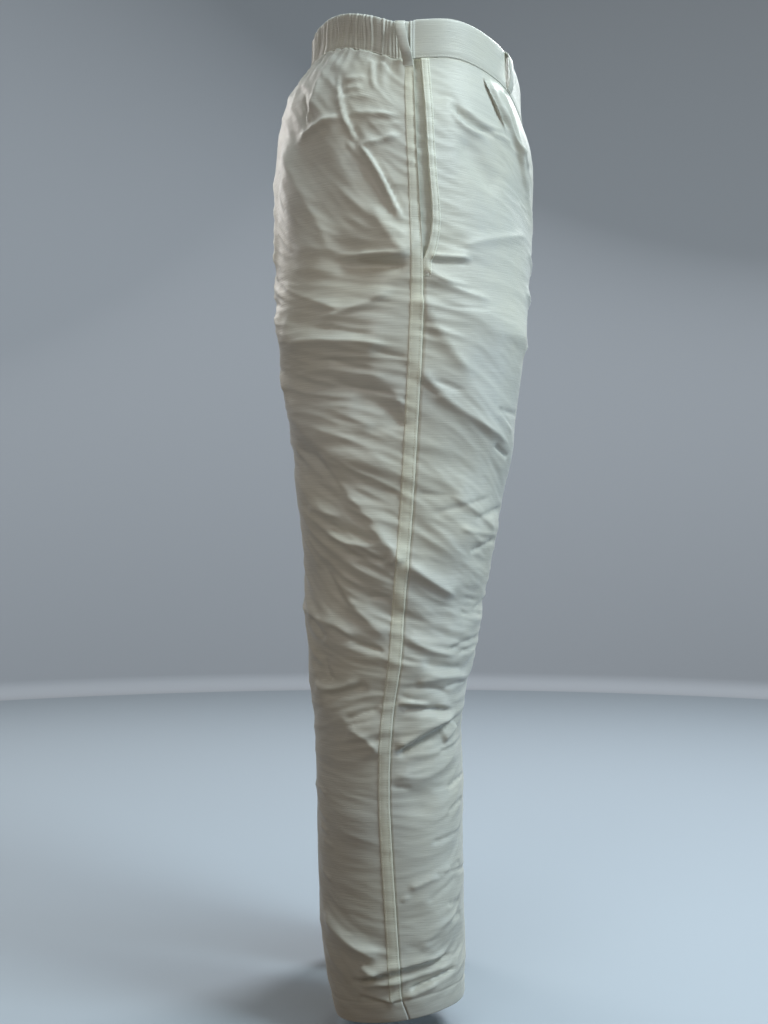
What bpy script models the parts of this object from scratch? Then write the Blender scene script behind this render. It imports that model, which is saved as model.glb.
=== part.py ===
"""Worn pyjama trousers: flat front waistband, gathered elastic back, side pockets and two tapered legs.

Metres, +Z up. The wearer faces -Y, so the trousers' right side is at -X. The origin is the middle of
the waist opening, half-way up the waistband at the side seams. The trousers keep the hollow form that
they have when worn, and each cut piece of cloth is a closed wall of its own.

"level" is a height before the waistline and the hem are tilted. "around" runs over a leg panel from 0
at the outer seam to 1 at the centre seam, and on past 1 to the inner seam of a leg. It is negative
on the back.
"""

from collections import namedtuple

import bmesh
import bpy
import numpy as np

# Driving sizes
WALL = 0.0014                # cloth of the legs
BAND_WALL = 0.0022           # doubled cloth of the waistband
STRIP_WALL = 0.0010          # felled seams, pocket edges and pocket facings
LOOP_WALL = 0.0013
SEAM_GAP = 0.0003            # between pieces that are sewn together
WAIST_SEAM = -0.0213         # level of the seam under the waistband
BAND_TOP = 0.0195            # level of the waistband's upper edge
BAND_PROUD = 0.0008          # the waistband stands out from the legs' cloth by this much
CROTCH = -0.300              # level where the two legs part
CORNER = -0.262              # level where the curve under the crotch turns into the centre seam
HIP = -0.135                 # level above which the seat is one round ring
CROTCH_RADIUS = 0.026        # how softly the legs run together between the thighs
HEM = -1.0065                # level of the lower edge
HEM_DEPTH = 0.021            # cloth turned in at the hem, which doubles the wall
HEM_TILT = -0.145            # the hem falls towards the heel by this slope
HEM_TILT_REACH = 0.10
HEM_MIDDLE = 0.018           # where the tilted hem has its own level, front to back
WAIST_TILT_REACH = 0.19      # the waistline's rise has died away this far below it

SEAM_WIDTH = 0.0105          # felled outer seam
POCKET_BOTTOM = -0.232
POCKET_EDGE_WIDTH = 0.0090   # topstitched edge of the pocket mouth

ELASTIC_GATHERS = 72         # ridges of the elastic back, from side seam to side seam
ELASTIC_GATHER_HEIGHT = 0.0020
SEAT_GATHER_HEIGHT = 0.0036
SEAT_GATHER_REACH = 0.075

LOOP_WIDTH = 0.0105
LOOP_STEPS = 10

# Mesh density
SEAT_COLUMNS = 10            # from the outer seam to the centre seam
THIGH_COLUMNS = 4            # the further ones, which end on the curve under the crotch
SEAT_ROWS = 10
LEG_ROWS = 27
HEM_ROWS = 1
GATHER_ROWS = 3              # rows under the elastic that are divided for the gathers
GATHER_SPLIT = 4             # columns of a gather for each plain column

# One row for each level: how far the cloth reaches to the front, to the back and outwards, half the
# gap between the legs, where the outer seam lies, and how square the inner side of the thigh is.
Section = namedtuple("Section", "level front back outer gap seam power")
SECTIONS = [
    Section(-1.030, -0.051, 0.086, 0.1600, 0.0330, 0.0060, 2.0),
    Section(-1.005, -0.051, 0.087, 0.1605, 0.0325, 0.0100, 2.0),
    Section(-0.985, -0.051, 0.092, 0.1630, 0.0315, 0.0165, 2.0),
    Section(-0.955, -0.052, 0.098, 0.1655, 0.0300, 0.0188, 2.0),
    Section(-0.890, -0.050, 0.104, 0.1665, 0.0290, 0.0232, 2.0),
    Section(-0.830, -0.049, 0.106, 0.1670, 0.0280, 0.0270, 2.0),
    Section(-0.760, -0.050, 0.107, 0.1675, 0.0265, 0.0295, 2.0),
    Section(-0.695, -0.048, 0.111, 0.1685, 0.0250, 0.0260, 2.0),
    Section(-0.635, -0.062, 0.116, 0.1715, 0.0220, 0.0180, 2.1),
    Section(-0.570, -0.074, 0.120, 0.1760, 0.0180, 0.0133, 2.3),
    Section(-0.500, -0.086, 0.124, 0.1810, 0.0140, 0.0074, 2.5),
    Section(-0.440, -0.097, 0.129, 0.1850, 0.0100, 0.0035, 2.7),
    Section(-0.370, -0.107, 0.138, 0.1890, 0.0055, -0.0003, 2.9),
    Section(-0.300, -0.116, 0.148, 0.1920, 0.0000, -0.0038, 3.0),
    Section(-0.240, -0.123, 0.153, 0.1920, 0.0000, -0.0040, 2.8),
    Section(-0.170, -0.132, 0.158, 0.1900, 0.0000, -0.0008, 2.4),
    Section(-0.110, -0.135, 0.159, 0.1850, 0.0000, 0.0025, 2.0),
    Section(-0.070, -0.135, 0.153, 0.1780, 0.0000, 0.0038, 2.0),
    Section(-0.045, -0.132, 0.142, 0.1710, 0.0000, 0.0046, 2.0),
    Section(-0.021, -0.123, 0.121, 0.1650, 0.0000, 0.0050, 2.0),
    Section(0.020, -0.120, 0.116, 0.1635, 0.0000, 0.0050, 2.0),
    Section(0.040, -0.120, 0.116, 0.1630, 0.0000, 0.0050, 2.0),
]

# The waistline dips at the belly and rises at the back. y is how far back a point lies.
Waistline = namedtuple("Waistline", "y rise")
WAISTLINE = [
    Waistline(-0.1400, -0.0370),
    Waistline(-0.1155, -0.0290),
    Waistline(-0.0974, -0.0130),
    Waistline(-0.0724, -0.0030),
    Waistline(-0.0400, 0.0040),
    Waistline(-0.0050, 0.0022),
    Waistline(0.0186, 0.0010),
    Waistline(0.0526, 0.0140),
    Waistline(0.0820, 0.0250),
    Waistline(0.1200, 0.0280),
    Waistline(0.1600, 0.0280),
]

# How far the front panel stands off the outer seam at the pocket.
PocketMouth = namedtuple("PocketMouth", "level gape")
POCKET_MOUTH = [
    PocketMouth(-0.232, 0.0),
    PocketMouth(-0.222, 0.0050),
    PocketMouth(-0.205, 0.0105),
    PocketMouth(-0.145, 0.0138),
    PocketMouth(-0.090, 0.0125),
    PocketMouth(-0.020, 0.0095),
    PocketMouth(0.000, 0.0095),
]

# The largest folds of a leg, each from one place to another. A fold is a ridge, or a trough where its
# height is negative.
Fold = namedtuple("Fold", "around level to_around to_level height width")
FOLDS = [
    Fold(-0.60, -0.050, -0.04, -0.240, 0.0060, 0.020),   # drag line from the elastic to the pocket
    Fold(-0.36, -0.110, -0.10, -0.190, -0.0050, 0.022),
    Fold(-0.74, -0.130, -0.42, -0.235, 0.0070, 0.026),
    Fold(-0.55, -0.170, -0.16, -0.265, -0.0060, 0.026),
    Fold(-0.80, -0.290, -0.08, -0.310, 0.0050, 0.020),
    Fold(-0.78, -0.330, -0.15, -0.350, -0.0055, 0.022),
    Fold(-0.90, -0.360, -0.05, -0.445, 0.0060, 0.022),
    Fold(-0.90, -0.430, 0.02, -0.560, 0.0065, 0.024),
    Fold(-0.95, -0.510, -0.10, -0.600, -0.0050, 0.022),
    Fold(-0.85, -0.570, 0.40, -0.665, 0.0055, 0.022),
    Fold(-0.85, -0.655, 0.00, -0.715, 0.0045, 0.018),
    Fold(0.24, -0.105, 0.46, -0.150, -0.0050, 0.014),
    Fold(0.10, -0.275, 0.75, -0.305, 0.0040, 0.016),
    Fold(0.04, -0.335, 0.80, -0.440, 0.0060, 0.020),
    Fold(0.10, -0.420, 0.75, -0.475, -0.0045, 0.018),
    Fold(0.05, -0.520, 0.80, -0.500, 0.0040, 0.018),
    Fold(0.10, -0.590, 0.80, -0.560, -0.0040, 0.018),
    Fold(0.06, -0.700, 0.75, -0.690, 0.0060, 0.018),     # break of the cloth at the knee
    Fold(0.08, -0.790, 0.80, -0.735, -0.0060, 0.018),
    Fold(0.14, -0.900, 0.80, -0.850, 0.0035, 0.018),
    Fold(-0.75, -0.760, -0.10, -0.820, 0.0035, 0.022),
    Fold(-0.80, -0.900, -0.05, -0.965, 0.0045, 0.020),   # break of the cloth above the hem
    Fold(-0.02, -0.970, 0.75, -0.925, -0.0055, 0.017),
]
LEFT_SHIFT = -0.018          # the left leg's folds lie this much lower, and are a little shallower
LEFT_SHARE = 0.85

# The pleat of each front: a fold of cloth that opens towards the pocket and dies out on the thigh.
PLEAT_TOP_AROUND = 0.51
PLEAT_BOTTOM_AROUND = 0.86
PLEAT_LENGTH = 0.150
PLEAT_HEIGHT = 0.0085
PLEAT_WIDTH = 0.014
PLEAT_LEAN = 0.0070          # how far the pleat's edge hangs over towards the pocket
PLEAT_PULL = 0.62            # how much closer the panel's columns lie beside the pleat
PLEAT_PULL_WIDTH = 0.20

RIGHT, LEFT = -1, 1
Ring = namedtuple("Ring", "a b c middle power end")


def smooth_step(t):
    t = np.clip(t, 0, 1)
    return t * t * (3 - 2 * t)


def column(table, name, key):
    """One column of a table at any key (its first column), on a smooth curve through its rows."""
    keys = np.array([row[0] for row in table])
    values = np.array([getattr(row, name) for row in table])
    slopes = np.gradient(values, keys)
    i = np.clip(np.searchsorted(keys, key) - 1, 0, len(keys) - 2)
    step = keys[i + 1] - keys[i]
    t = np.clip((key - keys[i]) / step, 0, 1)
    rise = t * t * (3 - 2 * t)
    leave = t * (1 - t) ** 2 * step * slopes[i]
    arrive = t * t * (1 - t) * step * slopes[i + 1]
    return values[i] * (1 - rise) + values[i + 1] * rise + leave - arrive


def ring(level):
    """The cloth's section on one side, before the legs' tips are drawn together.

    It is an oval with the centre (c, middle) and half sizes a and b. Above the crotch it would reach
    over the middle of the body, and is cut there at the angle "end".
    """
    outer = np.hypot(column(SECTIONS, "outer", level), CROTCH_RADIUS)
    gap = np.hypot(column(SECTIONS, "gap", level), CROTCH_RADIUS)
    merged = np.clip((level - CROTCH) / (HIP - CROTCH), 0, 1)
    tip = np.where(level > CROTCH, CROTCH_RADIUS - (outer + CROTCH_RADIUS) * merged, gap)
    a, c = (outer - tip) / 2, (outer + tip) / 2
    front, back = column(SECTIONS, "front", level), column(SECTIONS, "back", level)
    power = column(SECTIONS, "power", level)
    reach = np.clip((CROTCH_RADIUS - c) / a, -1, 1)
    reach = np.where(level > CROTCH, reach, -1.0)
    end = np.arccos(np.where(reach < 0, -np.abs(reach) ** (power / 2), reach))
    return Ring(a, (back - front) / 2, c, (back + front) / 2, power, end)


def seam_turn(level):
    """Angle of the outer seam in the section."""
    here = ring(level)
    return np.arcsin(np.clip((here.middle - column(SECTIONS, "seam", level)) / here.b, -1, 1))


def limit(front, level):
    """The value of around at the centre seam or at the inner seam of the leg."""
    seam = seam_turn(level) * (1 if front else -1)
    return (ring(level).end - seam) / (ring(np.maximum(level, CORNER)).end - seam)


def half_girth(level):
    """About how far it is round the cloth from around = 0 to 1."""
    here = ring(level)
    return ring(np.maximum(level, CORNER)).end * np.sqrt((here.a**2 + here.b**2) / 2)


def flat_section(around, level):
    """Where a point lies in its level section: (how far out from the middle, how far back)."""
    here = ring(level)
    seam = seam_turn(level)
    reach = ring(np.maximum(level, CORNER)).end
    turn = seam + around * np.where(around >= 0, reach - seam, reach + seam)
    outside = np.cos(turn) >= 0
    power = np.where(outside, 2.0, here.power)
    x = here.c + here.a * np.sign(np.cos(turn)) * np.abs(np.cos(turn)) ** (2 / power)
    y = here.middle - here.b * np.sign(np.sin(turn)) * np.abs(np.sin(turn)) ** (2 / power)
    return np.sqrt(np.maximum(x * x - CROTCH_RADIUS**2, 0)), y


def tilt(y, level):
    """How far a point is raised by the slope of the waistline and of the hem."""
    below_waist = smooth_step(1 - (WAIST_SEAM - level) / WAIST_TILT_REACH)
    above_hem = smooth_step(1 - (level - HEM) / HEM_TILT_REACH)
    return column(WAISTLINE, "rise", y) * below_waist + HEM_TILT * (y - HEM_MIDDLE) * above_hem


def outside_by(x, y, level):
    """Under 0 inside the section, 0 on it and over 0 outside it."""
    here = ring(level)
    u = (np.hypot(x, CROTCH_RADIUS) - here.c) / here.a
    v = (y - here.middle) / here.b
    power = np.where(u >= 0, 2.0, here.power)
    return np.abs(u) ** power + np.abs(v) ** power - 1


def smooth_cloth(around, level, lift):
    """Points of a side's cloth without folds, moved out by lift. x is how far out from the middle."""
    x, y = flat_section(around, level)
    step = 1e-4
    to_x = outside_by(x + step, y, level) - outside_by(x - step, y, level)
    to_y = outside_by(x, y + step, level) - outside_by(x, y - step, level)
    to_level = outside_by(x, y, level + step) - outside_by(x, y, level - step)
    tilt_y = (tilt(y + step, level) - tilt(y - step, level)) / (2 * step)
    tilt_level = (tilt(y, level + step) - tilt(y, level - step)) / (2 * step)
    to_z = to_level / (1 + tilt_level)
    out = np.stack([to_x, to_y - to_z * tilt_y, to_z], -1)
    out /= np.linalg.norm(out, axis=-1, keepdims=True)
    return np.stack([x, y, level + tilt(y, level)], -1) + out * np.asarray(lift)[..., None]


def fold_relief(side, around, level):
    """How far the folds move the cloth out."""
    girth = half_girth(level)
    shift = LEFT_SHIFT if side == LEFT else 0.0
    total = np.zeros_like(around)
    for fold in FOLDS:
        low, high = fold.level + shift, fold.to_level + shift
        middle_girth = half_girth(np.array((low + high) / 2))
        run = np.array([(fold.to_around - fold.around) * middle_girth, high - low])
        length = np.linalg.norm(run)
        run = run / length
        across = (around - fold.around) * girth
        down = level - low
        along = (across * run[0] + down * run[1]) / length
        off = down * run[0] - across * run[1]
        fade = np.exp(-((np.maximum(np.abs(along - 0.5) - 0.3, 0) / 0.16) ** 2))
        total += fold.height * np.exp(-((off / fold.width) ** 2)) * fade
    return total * (LEFT_SHARE if side == LEFT else 1.0)


def seat_gathers(around, level):
    """Gathers that run down from the elastic and die out over the seat."""
    reach = smooth_step(1 - (WAIST_SEAM - level) / SEAT_GATHER_REACH)
    first = SEAM_WIDTH / half_girth(np.array(WAIST_SEAM))
    place = (np.abs(around) - first) / (1 - first) * (SEAT_COLUMNS - 1)
    wave = 0.5 - 0.5 * np.cos(2 * np.pi * place)
    return np.where((around < 0) & (place > 0), SEAT_GATHER_HEIGHT * wave * reach, 0.0)


def pleat_line(level):
    """(value of around at the pleat's edge, how strong the pleat is there)."""
    down = np.clip((WAIST_SEAM - level) / PLEAT_LENGTH, 0, 1)
    line = PLEAT_TOP_AROUND + (PLEAT_BOTTOM_AROUND - PLEAT_TOP_AROUND) * down**0.8
    return line, np.sin(np.pi * (0.15 + 0.85 * down)) ** 0.8


def pleat(around, level):
    """(height, lean) of the front pleat. Its edge leans towards the outer seam."""
    line, strength = pleat_line(level)
    off = (around - line) * half_girth(level)
    bump = np.exp(-((off / PLEAT_WIDTH) ** 2)) * strength
    return PLEAT_HEIGHT * bump, PLEAT_LEAN * bump


def cloth(side, around, level, lift=0.0):
    """Points of a leg panel's outer face with its folds, moved out by lift."""
    around, level = np.broadcast_arrays(np.asarray(around, float), np.asarray(level, float))
    room = np.where(around >= 0, limit(True, level), limit(False, level)) - np.abs(around)
    calm = smooth_step(room / 0.25) * smooth_step((WAIST_SEAM - level) / 0.02)
    height, lean = pleat(around, level)
    relief = (fold_relief(side, around, level) + height) * calm + seat_gathers(around, level)
    points = smooth_cloth(around - lean * calm / half_girth(level), level, relief + lift)
    points[..., 0] = np.maximum(points[..., 0], SEAM_GAP / 2) * side
    return points


def closed_wall(name, outer, inner, material, split=1):
    """A closed wall between two like grids of points, given row by row.

    Rows may differ in length. A row may have `split` times the columns of the next one, and a row
    may be longer at its end than the one above it.
    """
    counts = [len(row) for row in outer]
    starts = np.cumsum([0] + counts).tolist()
    faces = []
    for j in range(len(outer) - 1):
        share = split if counts[j] > counts[j + 1] else 1
        for i in range(min((counts[j] - 1) // share, counts[j + 1] - 1)):
            upper = [starts[j] + i * share + k for k in range(share + 1)]
            lower = [starts[j + 1] + i, starts[j + 1] + i + 1]
            half = (share + 1) // 2
            for k in range(share):
                faces.append([upper[k], upper[k + 1], lower[0 if k < half and share > 1 else 1]])
            faces.append([upper[half if share > 1 else 0], lower[1], lower[0]])
    total = starts[-1]
    edges = {(a, b) for face in faces for a, b in zip(face, face[1:] + face[:1])}
    rims = sorted((a, b) for a, b in edges if (b, a) not in edges)
    walls = faces + [[total + v for v in reversed(face)] for face in faces]
    walls += [[b, a, a + total, b + total] for a, b in rims]
    points = np.concatenate([*outer, *inner]).tolist()
    mesh = bpy.data.meshes.new(name)
    mesh.from_pydata(points, [], walls)
    bm = bmesh.new()
    bm.from_mesh(mesh)
    if bm.calc_volume(signed=True) < 0:
        bmesh.ops.reverse_faces(bm, faces=bm.faces)
    bm.to_mesh(mesh)
    bm.free()
    mesh.shade_smooth()
    mesh.set_sharp_from_angle(angle=np.radians(50))
    mesh.materials.append(material)
    garment.objects.link(bpy.data.objects.new(name, mesh))


def pocket_gape(level):
    return max(float(column(POCKET_MOUTH, "gape", level)), 0.0) if level > POCKET_BOTTOM else 0.0


def panel_row(front, level):
    """The values of around in a row of a leg panel at this level, from the outer seam inwards."""
    girth = float(half_girth(np.array(level)))
    edge = SEAM_GAP / 2 + (pocket_gape(level) if front else 0.0)
    first = edge + (POCKET_EDGE_WIDTH if front else SEAM_WIDTH)
    rest = np.linspace(first / girth, 1.0, SEAT_COLUMNS)
    if front:
        line, strength = pleat_line(level)
        pull = PLEAT_PULL * strength * np.exp(-(((rest - line) / PLEAT_PULL_WIDTH) ** 2))
        rest[1:-1] -= ((rest - line) * pull)[1:-1]
    places = [edge / girth, *rest]
    if level < CORNER + 1e-6:
        inner = float(limit(front, np.array(min(level, CROTCH))))
        places += [1 + (inner - 1) * i / THIGH_COLUMNS for i in range(1, THIGH_COLUMNS + 1)]
    return np.array(places)


def panel_rows(front):
    """(around, level) of every point of a leg panel, row by row."""
    rows = []
    top = WAIST_SEAM - SEAM_GAP / 2
    for j in range(SEAT_ROWS):
        level = top + (CORNER - top) * j / SEAT_ROWS
        places = panel_row(front, level)
        if not front and j < GATHER_ROWS:
            steps = np.linspace(0, SEAT_COLUMNS, SEAT_COLUMNS * GATHER_SPLIT + 1)
            places = np.interp(steps, np.arange(SEAT_COLUMNS + 1), places)
        rows.append((places, np.full(len(places), level)))

    # On the leg, each column is divided evenly between its top and the hem. The columns of the thigh
    # have their tops on the curve under the crotch.
    places = panel_row(front, CORNER)
    levels = CROTCH + (CORNER - CROTCH) * np.linspace(0, 1, 200) ** 2
    tops = np.interp(places, limit(front, levels)[::-1], levels[::-1])
    tops[: SEAT_COLUMNS + 1] = CORNER
    hem_top = HEM + HEM_DEPTH
    for j in range(LEG_ROWS + 1):
        row = tops + (hem_top - tops) * j / LEG_ROWS
        rows.append((panel_row(front, row[0]), row))
    for j in range(1, HEM_ROWS + 1):
        row = np.full(len(places), hem_top + (HEM - hem_top) * j / HEM_ROWS)
        rows.append((panel_row(front, row[0]), row))
    return [(places if front else -places, levels) for places, levels in rows]


def close_to_middle(side, j, points):
    """Puts a row's points that lie on the centre seam or on the curve under the crotch there."""
    if j < SEAT_ROWS:
        points[-1, 0] = side * SEAM_GAP / 2
    elif j == SEAT_ROWS:
        points[SEAT_COLUMNS:, 0] = side * SEAM_GAP / 2
    return points


def open_inseam(front, j, points):
    """Keeps the front and the back apart by the seam's gap at the inner seam of the leg."""
    if j >= SEAT_ROWS:
        points[-1, 1] = INSEAM_LINE[j] + (-SEAM_GAP / 2 if front else SEAM_GAP / 2)
    return points


def leg_panel(side, front):
    name = ("front" if front else "back") + ("_right" if side == RIGHT else "_left")
    outer, inner = [], []
    for j, (arounds, levels) in enumerate(PANEL_ROWS[front]):
        wall = 2 * WALL if j > SEAT_ROWS + LEG_ROWS else WALL
        for grid, lift in ((outer, 0.0), (inner, -wall)):
            points = close_to_middle(side, j, cloth(side, arounds, levels, lift))
            grid.append(open_inseam(front, j, points))
    closed_wall(name, outer, inner, silk, GATHER_SPLIT)


def panel_strip(name, side, spans, rows, lift, material):
    """A strip that lies on the leg panels and is made from their own points, moved by lift.

    spans lists (front, column) for each line of points across the strip.
    """
    outer, inner = [], []
    for j in rows:
        arounds, levels = [], []
        for front, place in spans:
            row_arounds, row_levels = PANEL_ROWS[front][j]
            share = GATHER_SPLIT if not front and j < GATHER_ROWS else 1
            arounds.append(row_arounds[place * share])
            levels.append(row_levels[place * share])
        outer.append(cloth(side, arounds, levels, lift + STRIP_WALL))
        inner.append(cloth(side, arounds, levels, lift))
    closed_wall(name, outer, inner, material)


def waistband(name, places, lift):
    """A half ring above the waist seam, from the right outer seam over the middle to the left one.

    places holds the values of around from the outer seam to the middle.
    """
    around = np.concatenate([places, places[-2::-1]])
    sides = np.where(np.arange(len(around)) < len(places), RIGHT, LEFT)
    grids = []
    for lifts in (lift, np.full(len(around), BAND_PROUD - BAND_WALL)):
        grid = []
        for level in np.linspace(BAND_TOP, WAIST_SEAM + SEAM_GAP / 2, 3):
            points = smooth_cloth(around, np.full(len(around), level), lifts)
            points[:, 0] *= sides
            grid.append(points)
        grids.append(grid)
    closed_wall(name, *grids, silk)


def belt_loop(name, side, top_around, bottom_around, seat, bow):
    """A narrow folded strip, caught at the waistband's edges, that stands off between them."""
    margin = 0.0015
    half = LOOP_WIDTH / 2 / half_girth(np.array(0.0))
    outer, inner = [], []
    for t in np.linspace(0, 1, LOOP_STEPS + 1):
        level = (BAND_TOP - margin) + (WAIST_SEAM - BAND_TOP + 2 * margin) * t
        middle = top_around + (bottom_around - top_around) * t
        around = np.array([middle - half, middle, middle + half])
        for grid, wall in ((outer, LOOP_WALL), (inner, 0.0)):
            lift = np.full(3, seat + bow * np.sin(np.pi * t) ** 0.6 + wall)
            grid.append(smooth_cloth(around, np.full(3, level), lift) * [side, 1, 1])
    closed_wall(name, outer, inner, silk)


def cloth_material(name, colour, roughness):
    made = bpy.data.materials.new(name)
    made.use_nodes = True
    shader = made.node_tree.nodes["Principled BSDF"]
    shader.inputs["Base Color"].default_value = (*colour, 1.0)
    shader.inputs["Roughness"].default_value = roughness
    shader.inputs["Metallic"].default_value = 0.0
    shader.inputs["Sheen Weight"].default_value = 0.3
    return made


for old in list(bpy.data.objects):
    bpy.data.objects.remove(old)

garment = bpy.data.collections.new("pyjama_trousers")
bpy.context.scene.collection.children.link(garment)
silk = cloth_material("ivory_silk", (0.76, 0.76, 0.66), 0.42)
doubled_silk = cloth_material("doubled_silk", (0.78, 0.76, 0.60), 0.45)

PANEL_ROWS = {front: panel_rows(front) for front in (True, False)}
# How far back the inner seam lies in each row of a panel
INSEAM_LINE = [float(ring(levels[-1]).middle) for _, levels in PANEL_ROWS[True]]
ALL_ROWS = range(len(PANEL_ROWS[True]))
POCKET_ROWS = [j for j in ALL_ROWS if PANEL_ROWS[True][j][1][0] > POCKET_BOTTOM - 0.015]
INSIDE = -(WALL + SEAM_GAP + STRIP_WALL)
FACING = [(False, 0), (True, 0), (True, 1), (True, 2)]

for side, word in ((RIGHT, "right"), (LEFT, "left")):
    leg_panel(side, True)
    leg_panel(side, False)
    seam_rows = ALL_ROWS[: SEAT_ROWS + LEG_ROWS + 1]
    panel_strip(f"side_seam_{word}", side, [(False, 0), (False, 1)], seam_rows, SEAM_GAP, doubled_silk)
    panel_strip(f"pocket_edge_{word}", side, [(True, 0), (True, 1)], POCKET_ROWS, SEAM_GAP, doubled_silk)
    panel_strip(f"pocket_facing_{word}", side, FACING, POCKET_ROWS, INSIDE, silk)
    elastic_seat = BAND_PROUD + ELASTIC_GATHER_HEIGHT + SEAM_GAP
    belt_loop(f"belt_loop_side_{word}", side, -0.080, -0.030, elastic_seat, 0.0088)
    belt_loop(f"belt_loop_front_{word}", side, 0.66, 0.66, BAND_PROUD + SEAM_GAP, 0.0060)

seam_away = SEAM_GAP / 2 / half_girth(np.array(0.0))
front_places = np.array([seam_away, *PANEL_ROWS[True][0][0]])
waistband("waistband_front", front_places, np.full(2 * len(front_places) - 1, BAND_PROUD))
back_places = -np.clip(np.linspace(0, 1, 2 * ELASTIC_GATHERS + 1), seam_away, 1)
elastic_wave = 0.5 - 0.5 * np.cos(np.pi / 2 * np.arange(4 * ELASTIC_GATHERS + 1))
waistband("waistband_back", back_places, BAND_PROUD + ELASTIC_GATHER_HEIGHT * elastic_wave)
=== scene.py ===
from math import pi, radians

import bpy
import numpy as np
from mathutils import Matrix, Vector


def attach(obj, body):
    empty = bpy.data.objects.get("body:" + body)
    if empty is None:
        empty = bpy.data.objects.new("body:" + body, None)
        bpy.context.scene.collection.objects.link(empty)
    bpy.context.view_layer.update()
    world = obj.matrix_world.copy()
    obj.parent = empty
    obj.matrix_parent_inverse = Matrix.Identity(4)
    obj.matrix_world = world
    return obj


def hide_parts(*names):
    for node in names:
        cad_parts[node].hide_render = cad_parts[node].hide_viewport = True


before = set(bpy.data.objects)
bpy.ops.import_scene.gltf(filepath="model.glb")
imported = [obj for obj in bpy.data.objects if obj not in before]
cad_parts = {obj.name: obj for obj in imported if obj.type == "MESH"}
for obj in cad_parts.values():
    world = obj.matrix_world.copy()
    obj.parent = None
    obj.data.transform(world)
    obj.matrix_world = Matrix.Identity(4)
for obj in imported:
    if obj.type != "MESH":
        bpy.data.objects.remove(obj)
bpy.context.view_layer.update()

right, left = -1, 1
sideWords = {right: "right", left: "left"}
finish = 1.0  # how fine the cloth's mesh is
mm = 0.001
print("frame loaded")

# Form of the worn cloth, in metres. "level" is a height before the waistline and hem are tilted.
# "around" runs from 0 at the outer seam to 1 at the centre seam, past 1 on the inner leg, and is
# negative on the back.
trouserForm = {
    "waistSeam": -0.0213,
    "crotch": -0.300, "corner": -0.262, "hip": -0.135, "crotchRadius": 0.026,
    "hem": -1.0065, "hemDepth": 0.021, "hemTilt": -0.145, "hemTiltReach": 0.10, "hemMiddle": 0.018,
    "waistTiltReach": 0.19, "seamWidth": 0.0105, "seamGap": 0.0003,
}
hemTop = trouserForm["hem"] + trouserForm["hemDepth"]
legSections = np.array([  # level, front, back, outer, half gap between legs, outer seam, squareness
    (-1.030, -0.051, 0.086, 0.1600, 0.0330, 0.0060, 2.0),
    (-1.005, -0.051, 0.087, 0.1605, 0.0325, 0.0100, 2.0),
    (-0.985, -0.051, 0.092, 0.1630, 0.0315, 0.0165, 2.0),
    (-0.955, -0.052, 0.098, 0.1655, 0.0300, 0.0188, 2.0),
    (-0.890, -0.050, 0.104, 0.1665, 0.0290, 0.0232, 2.0),
    (-0.830, -0.049, 0.106, 0.1670, 0.0280, 0.0270, 2.0),
    (-0.760, -0.050, 0.107, 0.1675, 0.0265, 0.0295, 2.0),
    (-0.695, -0.048, 0.111, 0.1685, 0.0250, 0.0260, 2.0),
    (-0.635, -0.062, 0.116, 0.1715, 0.0220, 0.0180, 2.1),
    (-0.570, -0.074, 0.120, 0.1760, 0.0180, 0.0133, 2.3),
    (-0.500, -0.086, 0.124, 0.1810, 0.0140, 0.0074, 2.5),
    (-0.440, -0.097, 0.129, 0.1850, 0.0100, 0.0035, 2.7),
    (-0.370, -0.107, 0.138, 0.1890, 0.0055, -0.0003, 2.9),
    (-0.300, -0.116, 0.148, 0.1920, 0.0000, -0.0038, 3.0),
    (-0.240, -0.123, 0.153, 0.1920, 0.0000, -0.0040, 2.8),
    (-0.170, -0.132, 0.158, 0.1900, 0.0000, -0.0008, 2.4),
    (-0.110, -0.135, 0.159, 0.1850, 0.0000, 0.0025, 2.0),
    (-0.070, -0.135, 0.153, 0.1780, 0.0000, 0.0038, 2.0),
    (-0.045, -0.132, 0.142, 0.1710, 0.0000, 0.0046, 2.0),
    (-0.021, -0.123, 0.121, 0.1650, 0.0000, 0.0050, 2.0),
    (0.020, -0.120, 0.116, 0.1635, 0.0000, 0.0050, 2.0),
    (0.040, -0.120, 0.116, 0.1630, 0.0000, 0.0050, 2.0),
])
waistline = np.array([  # how far back, rise
    (-0.1400, -0.0370), (-0.1155, -0.0290), (-0.0974, -0.0130), (-0.0724, -0.0030), (-0.0400, 0.0040),
    (-0.0050, 0.0022), (0.0186, 0.0010), (0.0526, 0.0140), (0.0820, 0.0250), (0.1200, 0.0280),
    (0.1600, 0.0280),
])
pocketMouth = np.array([  # level, how far the front stands off the outer seam
    (-0.232, 0.0), (-0.222, 0.0050), (-0.205, 0.0105), (-0.145, 0.0138), (-0.090, 0.0125),
    (-0.020, 0.0095), (0.000, 0.0095),
])


def smoothStep(t):
    t = np.clip(t, 0, 1)
    return t * t * (3 - 2 * t)


def alongTable(table, place, key):
    # one column of a table at any key, on a smooth curve through its rows
    keys, values = table[:, 0], table[:, place]
    slopes = np.gradient(values, keys)
    i = np.clip(np.searchsorted(keys, key) - 1, 0, len(keys) - 2)
    step = keys[i + 1] - keys[i]
    t = np.clip((key - keys[i]) / step, 0, 1)
    rise = t * t * (3 - 2 * t)
    leave = t * (1 - t) ** 2 * step * slopes[i]
    arrive = t * t * (1 - t) * step * slopes[i + 1]
    return values[i] * (1 - rise) + values[i + 1] * rise + leave - arrive


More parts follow.
